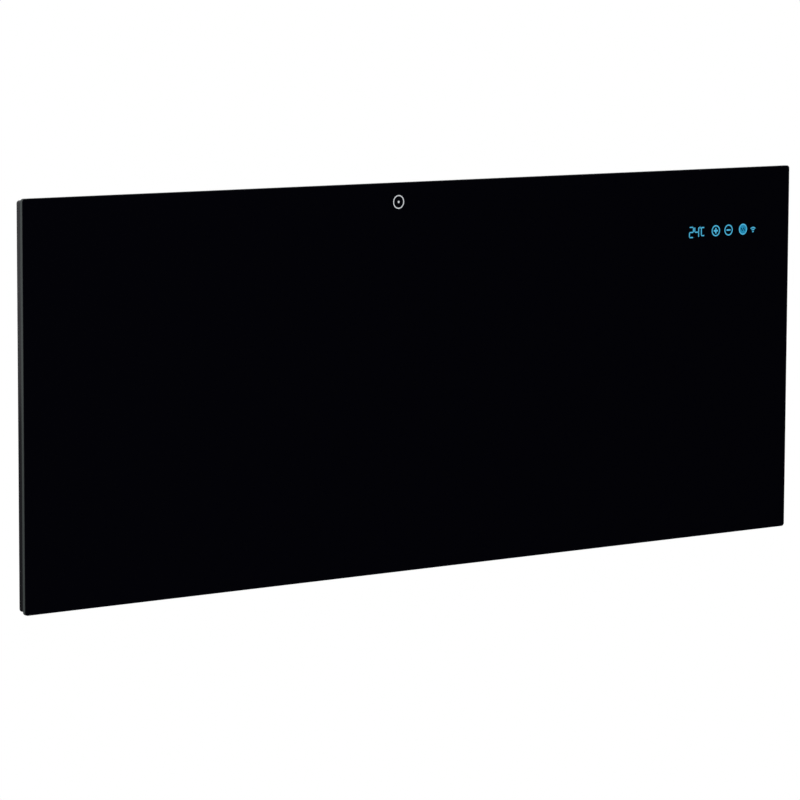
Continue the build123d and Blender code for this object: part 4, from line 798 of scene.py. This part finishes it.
def loose_parts(node):
    """The lowest and highest corner of each separate part of a node."""
    mesh = bmesh.new()
    mesh.from_mesh(nodes[node].data)
    bmesh.ops.remove_doubles(mesh, verts=mesh.verts, dist=SAME_POINT)
    left, found = set(mesh.verts), []
    for first in mesh.verts:
        if first not in left:
            continue
        left.remove(first)
        front = [first]
        low, high = first.co.copy(), first.co.copy()
        while front:
            vertex = front.pop()
            low = Vector(map(min, low, vertex.co))
            high = Vector(map(max, high, vertex.co))
            for edge in vertex.link_edges:
                other = edge.other_vert(vertex)
                if other in left:
                    left.remove(other)
                    front.append(other)
        found.append((low, high))
    mesh.free()
    return found


for node in ("tray_rivets", "bracket_rivets", "cover_screws"):
    print(node, "has", len(loose_parts(node)), "parts")

# %% [markdown]
# ## Turning a fastener
#
# A rivet head is a low dome with the broken end of its pin in the middle, and a cover screw
# has a rounded head. They could be stacked from cones, but both are round bodies, so both
# are turned as on a lathe: a short profile of radii and depths goes round its axis.

# %% A profile, and its way round the axis
TURN_STEPS = 28


def headed(head, shank_r, near, far):
    """The profile of a fastener with the top of its head at near and its end at far."""
    side = 1 if far > near else -1
    dome = [(radius * MM, near + side * depth * MM) for radius, depth in head]
    seat = dome[-1][1]
    return dome + [(shank_r * MM, seat), (shank_r * MM, far), (0.0, far)]


def add_turned(mesh, x, z, profile):
    """Turns (radius, y) points about a line along Y. A radius of 0 closes an end."""
    turns = [math.tau * step / TURN_STEPS for step in range(TURN_STEPS)]
    rings = []
    for radius, y in profile:
        used = turns if radius else turns[:1]
        rings.append([mesh.verts.new((x + radius * math.cos(a), y, z + radius * math.sin(a)))
                      for a in used])
    for first, second in zip(rings, rings[1:]):
        for n in range(TURN_STEPS):
            corners = [first[n - 1], first[n]] if len(first) > 1 else [first[0]]
            corners += [second[n], second[n - 1]] if len(second) > 1 else [second[0]]
            mesh.faces.new(corners)


def fasteners(node, head, shank_r, head_low):
    """Turns a fine fastener for each plain one. head_low: its head is at the lower y."""
    def build(mesh):
        for low, high in loose_parts(node):
            near, far = (low.y, high.y) if head_low else (high.y, low.y)
            profile = headed(head, shank_r, near, far)
            add_turned(mesh, (low.x + high.x) / 2, (low.z + high.z) / 2, profile)
    return build


def smooth(piece, angle=35):
    """Rounds the shading where faces meet at less than the angle."""
    for face in piece.data.polygons:
        face.use_smooth = True
    piece.data.set_sharp_from_angle(angle=math.radians(angle))


print("sides of a turned piece:", TURN_STEPS)

# %% Rivets with a dome and a pin
# radius, and depth below the top of the head, in millimetres
RIVET_HEAD = ((0.0, 0.5), (0.85, 0.42), (0.85, 0.12), (1.35, 0.0), (2.48, 0.22), (3.44, 0.58),
              (4.0, 0.95), (4.0, 1.2))
RIVET_SHANK_R = 1.95

for node, body, head_low in (("tray_rivets", "heater", False),
                             ("bracket_rivets", "wall_bracket", True)):
    build = fasteners(node, RIVET_HEAD, RIVET_SHANK_R, head_low)
    rivets = make_piece(node + "_domed", build, "zinc", body)
    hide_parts(node)
    smooth(rivets)

# %% [markdown]
# ## Cover screws with a cross
#
# The cover of the control box is held by screws with a cross for the driver. The cross
# could be modelled into the head face by face, but a workshop would punch it, and so does
# the script: it builds a tapered cross and cuts it out of the finished head.

# %% Screws with a rounded head
SCREW_HEAD = ((0.0, 0.0), (1.45, 0.06), (2.32, 0.3), (2.784, 0.8), (2.9, 1.6))
SCREW_SHANK_R = 1.25

build = fasteners("cover_screws", SCREW_HEAD, SCREW_SHANK_R, head_low=False)
screws = make_piece("cover_screws_cross", build, "zinc", "heater")
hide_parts("cover_screws")

# %% A cross cut into each head
CROSS_SPAN = 3.4 * MM
CROSS_W = 0.8 * MM
CROSS_DEPTH = 1.1 * MM
CROSS_ABOVE = 0.3 * MM              # the punch starts above the head
CROSS_FOOT = 0.55                   # how much of its width is left at its foot


def cross_punch(mesh):
    """A cross that narrows towards its foot, for each screw."""
    outline = cross(0, 0, CROSS_SPAN, CROSS_W)
    for low, high in loose_parts("cover_screws"):
        middle_x, middle_z = (low.x + high.x) / 2, (low.z + high.z) / 2
        rings = []
        for y, size in ((high.y + CROSS_ABOVE, 1.0), (high.y - CROSS_DEPTH, CROSS_FOOT)):
            rings.append([mesh.verts.new((middle_x + x * size, y, middle_z + z * size))
                          for x, z in outline])
        for n in range(len(outline)):
            mesh.faces.new((rings[0][n - 1], rings[0][n], rings[1][n], rings[1][n - 1]))
        mesh.faces.new(rings[0])
        mesh.faces.new(list(reversed(rings[1])))


def cut_away(piece, build):
    """Cuts what build() makes out of the piece, and keeps the result as its mesh."""
    tool = make_piece("punch", build, "zinc", "heater")
    change = piece.modifiers.new("cut", "BOOLEAN")
    change.object = tool
    change.operation = "DIFFERENCE"
    change.solver = "EXACT"
    shown = piece.evaluated_get(bpy.context.evaluated_depsgraph_get())
    data = bpy.data.meshes.new_from_object(shown)
    piece.modifiers.clear()
    piece.data = data
    bpy.data.objects.remove(tool)
    print(piece.name, "has", len(data.polygons), "faces after the cut")


cut_away(screws, cross_punch)
smooth(screws)

# %% [markdown]
# ## The master switch
#
# A rocker under the control box cuts the heater off. It is moulded with two sloping pads
# that meet in a valley under the pivot, so that a finger can feel which side is pressed.
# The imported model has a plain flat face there. A rocker is one side view pulled across the
# width of the switch, so it is drawn once, from two short arcs and the valley, and its rims
# are rounded afterwards as in a mould.

# %% The rocker, pressed on
rocker_joint = next(joint for joint in frame["joints"] if joint["name"] == "rocker_tilt")
PIVOT = Vector(rocker_joint["pos_m"])
TILT_ON = math.radians(rocker_joint["range_deg"][1] / 2)
rocker_low, rocker_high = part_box("master_rocker")
ROCKER_R = (rocker_high.x - rocker_low.x) / 2
PIVOT_PIN_L = 0.8 * MM
PIVOT_PIN_R = 1.2 * MM
VALLEY_DEEP = 3.0 * MM
PAD_END = 35                        # degrees below level, where a pad meets the round end
BACK_END = 30                       # degrees above level, where the round end stops
RIM_R = 0.4 * MM


def on_rocker(x, y, z):
    """A place on the rocker, drawn level round its pivot, after it is pressed on."""
    c, s = math.cos(TILT_ON), math.sin(TILT_ON)
    return PIVOT + Vector((x * c - z * s, y, x * s + z * c))


def rocker_solid(mesh):
    outline = [(0, -VALLEY_DEEP)]
    outline += arc(0, 0, ROCKER_R, -PAD_END, BACK_END)
    outline += arc(0, 0, ROCKER_R, 180 - BACK_END, 180 + PAD_END)
    half = (rocker_high.y - rocker_low.y) / 2 - PIVOT_PIN_L
    near, far = ([mesh.verts.new(on_rocker(x, y, z)) for x, z in outline] for y in (-half, half))
    for n in range(len(outline)):
        mesh.faces.new((near[n - 1], near[n], far[n], far[n - 1]))
    rims = [mesh.faces.new(near), mesh.faces.new(list(reversed(far)))]
    edges = [edge for face in rims for edge in face.edges]
    bmesh.ops.bevel(mesh, geom=edges, offset=RIM_R, segments=2, profile=0.5, affect="EDGES")
    for side in (-1, 1):
        face_y, end_y = PIVOT.y + side * half, PIVOT.y + side * (half + PIVOT_PIN_L)
        pin = [(0.0, face_y), (PIVOT_PIN_R, face_y), (PIVOT_PIN_R, end_y), (0.0, end_y)]
        add_turned(mesh, PIVOT.x, PIVOT.z, pin)


rocker = make_piece("rocker_with_pads", rocker_solid, "switch_black", "switch_rocker")
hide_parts("master_rocker")
smooth(rocker)

# %% [markdown]
# ## On and off
#
# A line and a ring, printed in white on the sloping pads, say which side of the rocker is
# on. They could be turned into place as finished objects, but the slabs of the glass serve
# again: only the flat face that they stand on is another one, given by its middle and two
# ways in it. They ride on the rocker and tilt with it.

# %% Marks on the pads
PAD_MARK_R = 1.5
PAD_MARK_STROKE = 0.6


def pad_flat(side):
    """The flat face of a pad: its middle, the way to its end, and the way beside that."""
    turn = math.radians(PAD_END)
    end = on_rocker(side * ROCKER_R * math.cos(turn), 0, -ROCKER_R * math.sin(turn))
    valley = on_rocker(0, 0, -VALLEY_DEEP)
    across = (end - valley).normalized()
    rise = Vector((0, -side, 0))
    return (valley + end) / 2, across, rise


def on_mark(mesh):
    add_slab(mesh, bar((-PAD_MARK_R, 0), (PAD_MARK_R, 0), PAD_MARK_STROKE), flat=pad_flat(1))


def off_mark(mesh):
    hole = circle(0, 0, PAD_MARK_R - PAD_MARK_STROKE)
    add_slab(mesh, circle(0, 0, PAD_MARK_R), [hole], pad_flat(-1))


make_piece("mark_on", on_mark, "white_sign", "switch_rocker")
make_piece("mark_off", off_mark, "white_sign", "switch_rocker")

# %% [markdown]
# ## A white world
#
# The panel is shown as shops show such things: on white, in soft light. A white backdrop
# would have corners and need lamps of its own, so the white comes from the world, for what
# the camera sees and for what the metal and the glass mirror. For lighting it is dimmer, so
# that a lamp can still give the pan's side its fall from light to dark.

# %% The world
ROOM_LIGHT = 0.55
WHITE = (1, 1, 1, 1)


def looked_at(owner):
    """1 for rays from the camera, from a mirror or through glass, and 0 for those that light."""
    rays = add_node(owner, "LightPath").outputs
    pair = {0: rays["Is Camera Ray"], 1: rays["Is Glossy Ray"]}
    either = add_node(owner, "Math", pair, operation="MAXIMUM").outputs[0]
    pair = {0: either, 1: rays["Is Transmission Ray"]}
    return add_node(owner, "Math", pair, operation="MAXIMUM").outputs[0]


world = bpy.data.worlds.new("studio")
world.use_nodes = True
world.node_tree.nodes.clear()
bpy.context.scene.world = world
felt = add_node(world, "Background", {"Color": WHITE, "Strength": ROOM_LIGHT}).outputs[0]
seen = add_node(world, "Background", {"Color": WHITE, "Strength": 1.0}).outputs[0]
choice = add_node(world, "MixShader", {"Fac": looked_at(world), 1: felt, 2: seen}).outputs[0]
add_node(world, "OutputWorld", {"Surface": choice})
print("the world has", len(world.node_tree.nodes), "nodes")

# %% [markdown]
# ## Two soft lamps
#
# A large soft lamp from the upper left gives the side of the pan its fall from light to
# dark, and a second one behind keeps the back from going flat. Small lamps would throw hard
# shadows. Both are hidden from mirrors, or they would show as pale squares in the glass.

# %% Lamps
LAMP_SIZE = 2.0
# name: place in metres, and watts
LAMPS = {"lamp_upper_left": ((-2.6, -1.6, 2.4), 90), "lamp_rear_right": ((2.2, 2.6, 1.8), 70)}

for name, (place, watts) in LAMPS.items():
    lamp = bpy.data.lights.new(name, "AREA")
    lamp.size = LAMP_SIZE
    lamp.energy = watts
    holder = bpy.data.objects.new(name, lamp)
    bpy.context.collection.objects.link(holder)
    to_heater = (-Vector(place)).to_track_quat("-Z", "Y").to_matrix().to_4x4()
    holder.matrix_world = Matrix.Translation(place) @ to_heater
    holder.visible_glossy = False
    print(name, "gives", watts, "W")

# %% [markdown]
# ## Black cards
#
# The black face and the dark side of the pan would mirror the white world and turn grey.
# A photographer sets black cards where the mirror images look, and so does this script: a
# ray from the camera is mirrored in the front, in the pan's side and in the round of its
# rear fold, and a card stands square to each mirrored way. The first card is wide enough
# for a look straight at the front too. Only mirrored rays see the cards, so they neither
# show nor throw a shadow.


# %% A card, and the way that it stands square to
def mirrored(way, normal):
    """The way on which a ray leaves a mirror that faces along the normal."""
    return way - 2 * way.dot(normal) * normal


def card_builder(start, way, away, width, height, shift, lift):
    """A card square to a way, at a distance along it, moved sideways and up."""
    across = way.cross(Vector((0, 0, 1))).normalized()
    rise = across.cross(way)
    middle = start + way * away + across * shift + Vector((0, 0, lift))

    def build(mesh):
        corners = [(-1, -1), (1, -1), (1, 1), (-1, 1)]
        mesh.faces.new([mesh.verts.new(middle + across * (width / 2 * a) + rise * (height / 2 * b))
                        for a, b in corners])
    return build


def staged(name, build, finish):
    """A part of the studio, which doesn't belong to the heater."""
    mesh = bmesh.new()
    build(mesh)
    data = bpy.data.meshes.new(name)
    mesh.to_mesh(data)
    mesh.free()
    data.materials.append(finish)
    piece = bpy.data.objects.new(name, data)
    bpy.context.collection.objects.link(piece)
    piece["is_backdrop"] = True
    return piece


print("the front mirrors the camera's look along", mirrored(-back, Vector((0, -1, 0))))

# %% Three cards
FOLD_TURN = math.radians(26)        # from the pan's side to the middle of its rear fold
tray_low, tray_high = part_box("rear_tray")
side_middle = Vector((tray_low.x, (tray_low.y + tray_high.y) / 2, 0))
front_facing, side_facing = Vector((0, -1, 0)), Vector((-1, 0, 0))
fold_facing = Vector((-math.cos(FOLD_TURN), math.sin(FOLD_TURN), 0))
# name: middle of the mirror and the way it faces, then distance, width, height, shift and lift
CARDS = {
    "card_for_front": (AIM, front_facing, 2.0, 4.3, 1.5, 1.05, 0.0),
    "card_for_side": (side_middle, side_facing, 0.35, 0.5, 0.6, 0.0, -0.29),
    "card_for_fold": (side_middle, fold_facing, 0.35, 0.6, 0.8, 0.0, 0.0),
}

card_black = new_finish("card_black", (0, 0, 0), 1.0, specular=0.0)
for name, (middle, normal, away, *sizes) in CARDS.items():
    card = staged(name, card_builder(middle, mirrored(-back, normal), away, *sizes), card_black)
    card.visible_camera = False
    card.visible_diffuse = False
    card.visible_shadow = False
    card.visible_transmission = False
    print(name, "stands", away, "m from its mirror")

# %% [markdown]
# ## The floor
#
# A pale disc under the heater takes its soft shadow. It could be a plane out to the horizon,
# but its far edge would show, so the disc fades into the white of the world towards its
# rim. It is clear from below, so that the underside of the heater can be looked at too.

# %% A floor that fades out
FLOOR_Z = -1.0
FLOOR_R = 1.9
FLOOR_PALE = (0.86, 0.86, 0.86)
FLOOR_ROUGH = 0.9
FLOOR_GLOSS = 0.1
FADE_FROM, FADE_TO = 0.45 * FLOOR_R, 0.98 * FLOOR_R
LEVEL = (1, 1, 0)                   # leaves x and y of a place, and takes its height away


def floor_disc(mesh):
    rim = circle(0, 0, FLOOR_R, steps=96)
    mesh.faces.new([mesh.verts.new((x, y, FLOOR_Z)) for x, y in rim])


def floor_finish():
    """Pale in the middle, where the shadow lies, and lost in the white towards its rim."""
    finish = new_finish("floor_pale", FLOOR_PALE, FLOOR_ROUGH, specular=FLOOR_GLOSS)
    shader = finish.node_tree.nodes["Principled BSDF"]
    place = add_node(finish, "TexCoord").outputs["Object"]
    flat = add_node(finish, "VectorMath", {0: place, 1: LEVEL}, operation="MULTIPLY").outputs[0]
    reach = add_node(finish, "VectorMath", {0: flat}, operation="LENGTH").outputs["Value"]
    fade = follow(finish, reach, 0.0, 1.0, FADE_FROM, FADE_TO)
    pair = {0: fade, 1: looked_at(finish)}
    share = add_node(finish, "Math", pair, operation="MULTIPLY").outputs[0]
    white = add_node(finish, "Emission", {"Color": WHITE, "Strength": 1.0}).outputs[0]
    above = add_node(finish, "MixShader", {"Fac": share, 1: shader.outputs[0], 2: white})
    # from below, the floor lets the underside of the heater be seen
    under = add_node(finish, "NewGeometry").outputs["Backfacing"]
    clear = add_node(finish, "BsdfTransparent").outputs[0]
    sides = add_node(finish, "MixShader", {"Fac": under, 1: above.outputs[0], 2: clear})
    output = finish.node_tree.nodes["Material Output"]
    finish.node_tree.links.new(sides.outputs[0], output.inputs["Surface"])
    return finish


staged("floor", floor_disc, floor_finish())
bpy.context.scene.view_settings.view_transform = "Standard"
print("floor of", 2 * FLOOR_R, "m across at z =", FLOOR_Z)

# %% [markdown]
# ## The last look
#
# The lit signs stand a coat of paint proud of the glass, so the finished box is deeper than
# the imported one by that much. A ruler in the editor would do, but both boxes are written
# down here instead, so that anyone can compare them later.

# %% Print both sizes
seen_low, seen_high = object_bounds()
sizes = {"cad": [list(cad_low), list(cad_high)], "visual": [list(seen_low), list(seen_high)]}
print("box of the packed model:", sizes["cad"])
print("box of the finished one:", sizes["visual"])
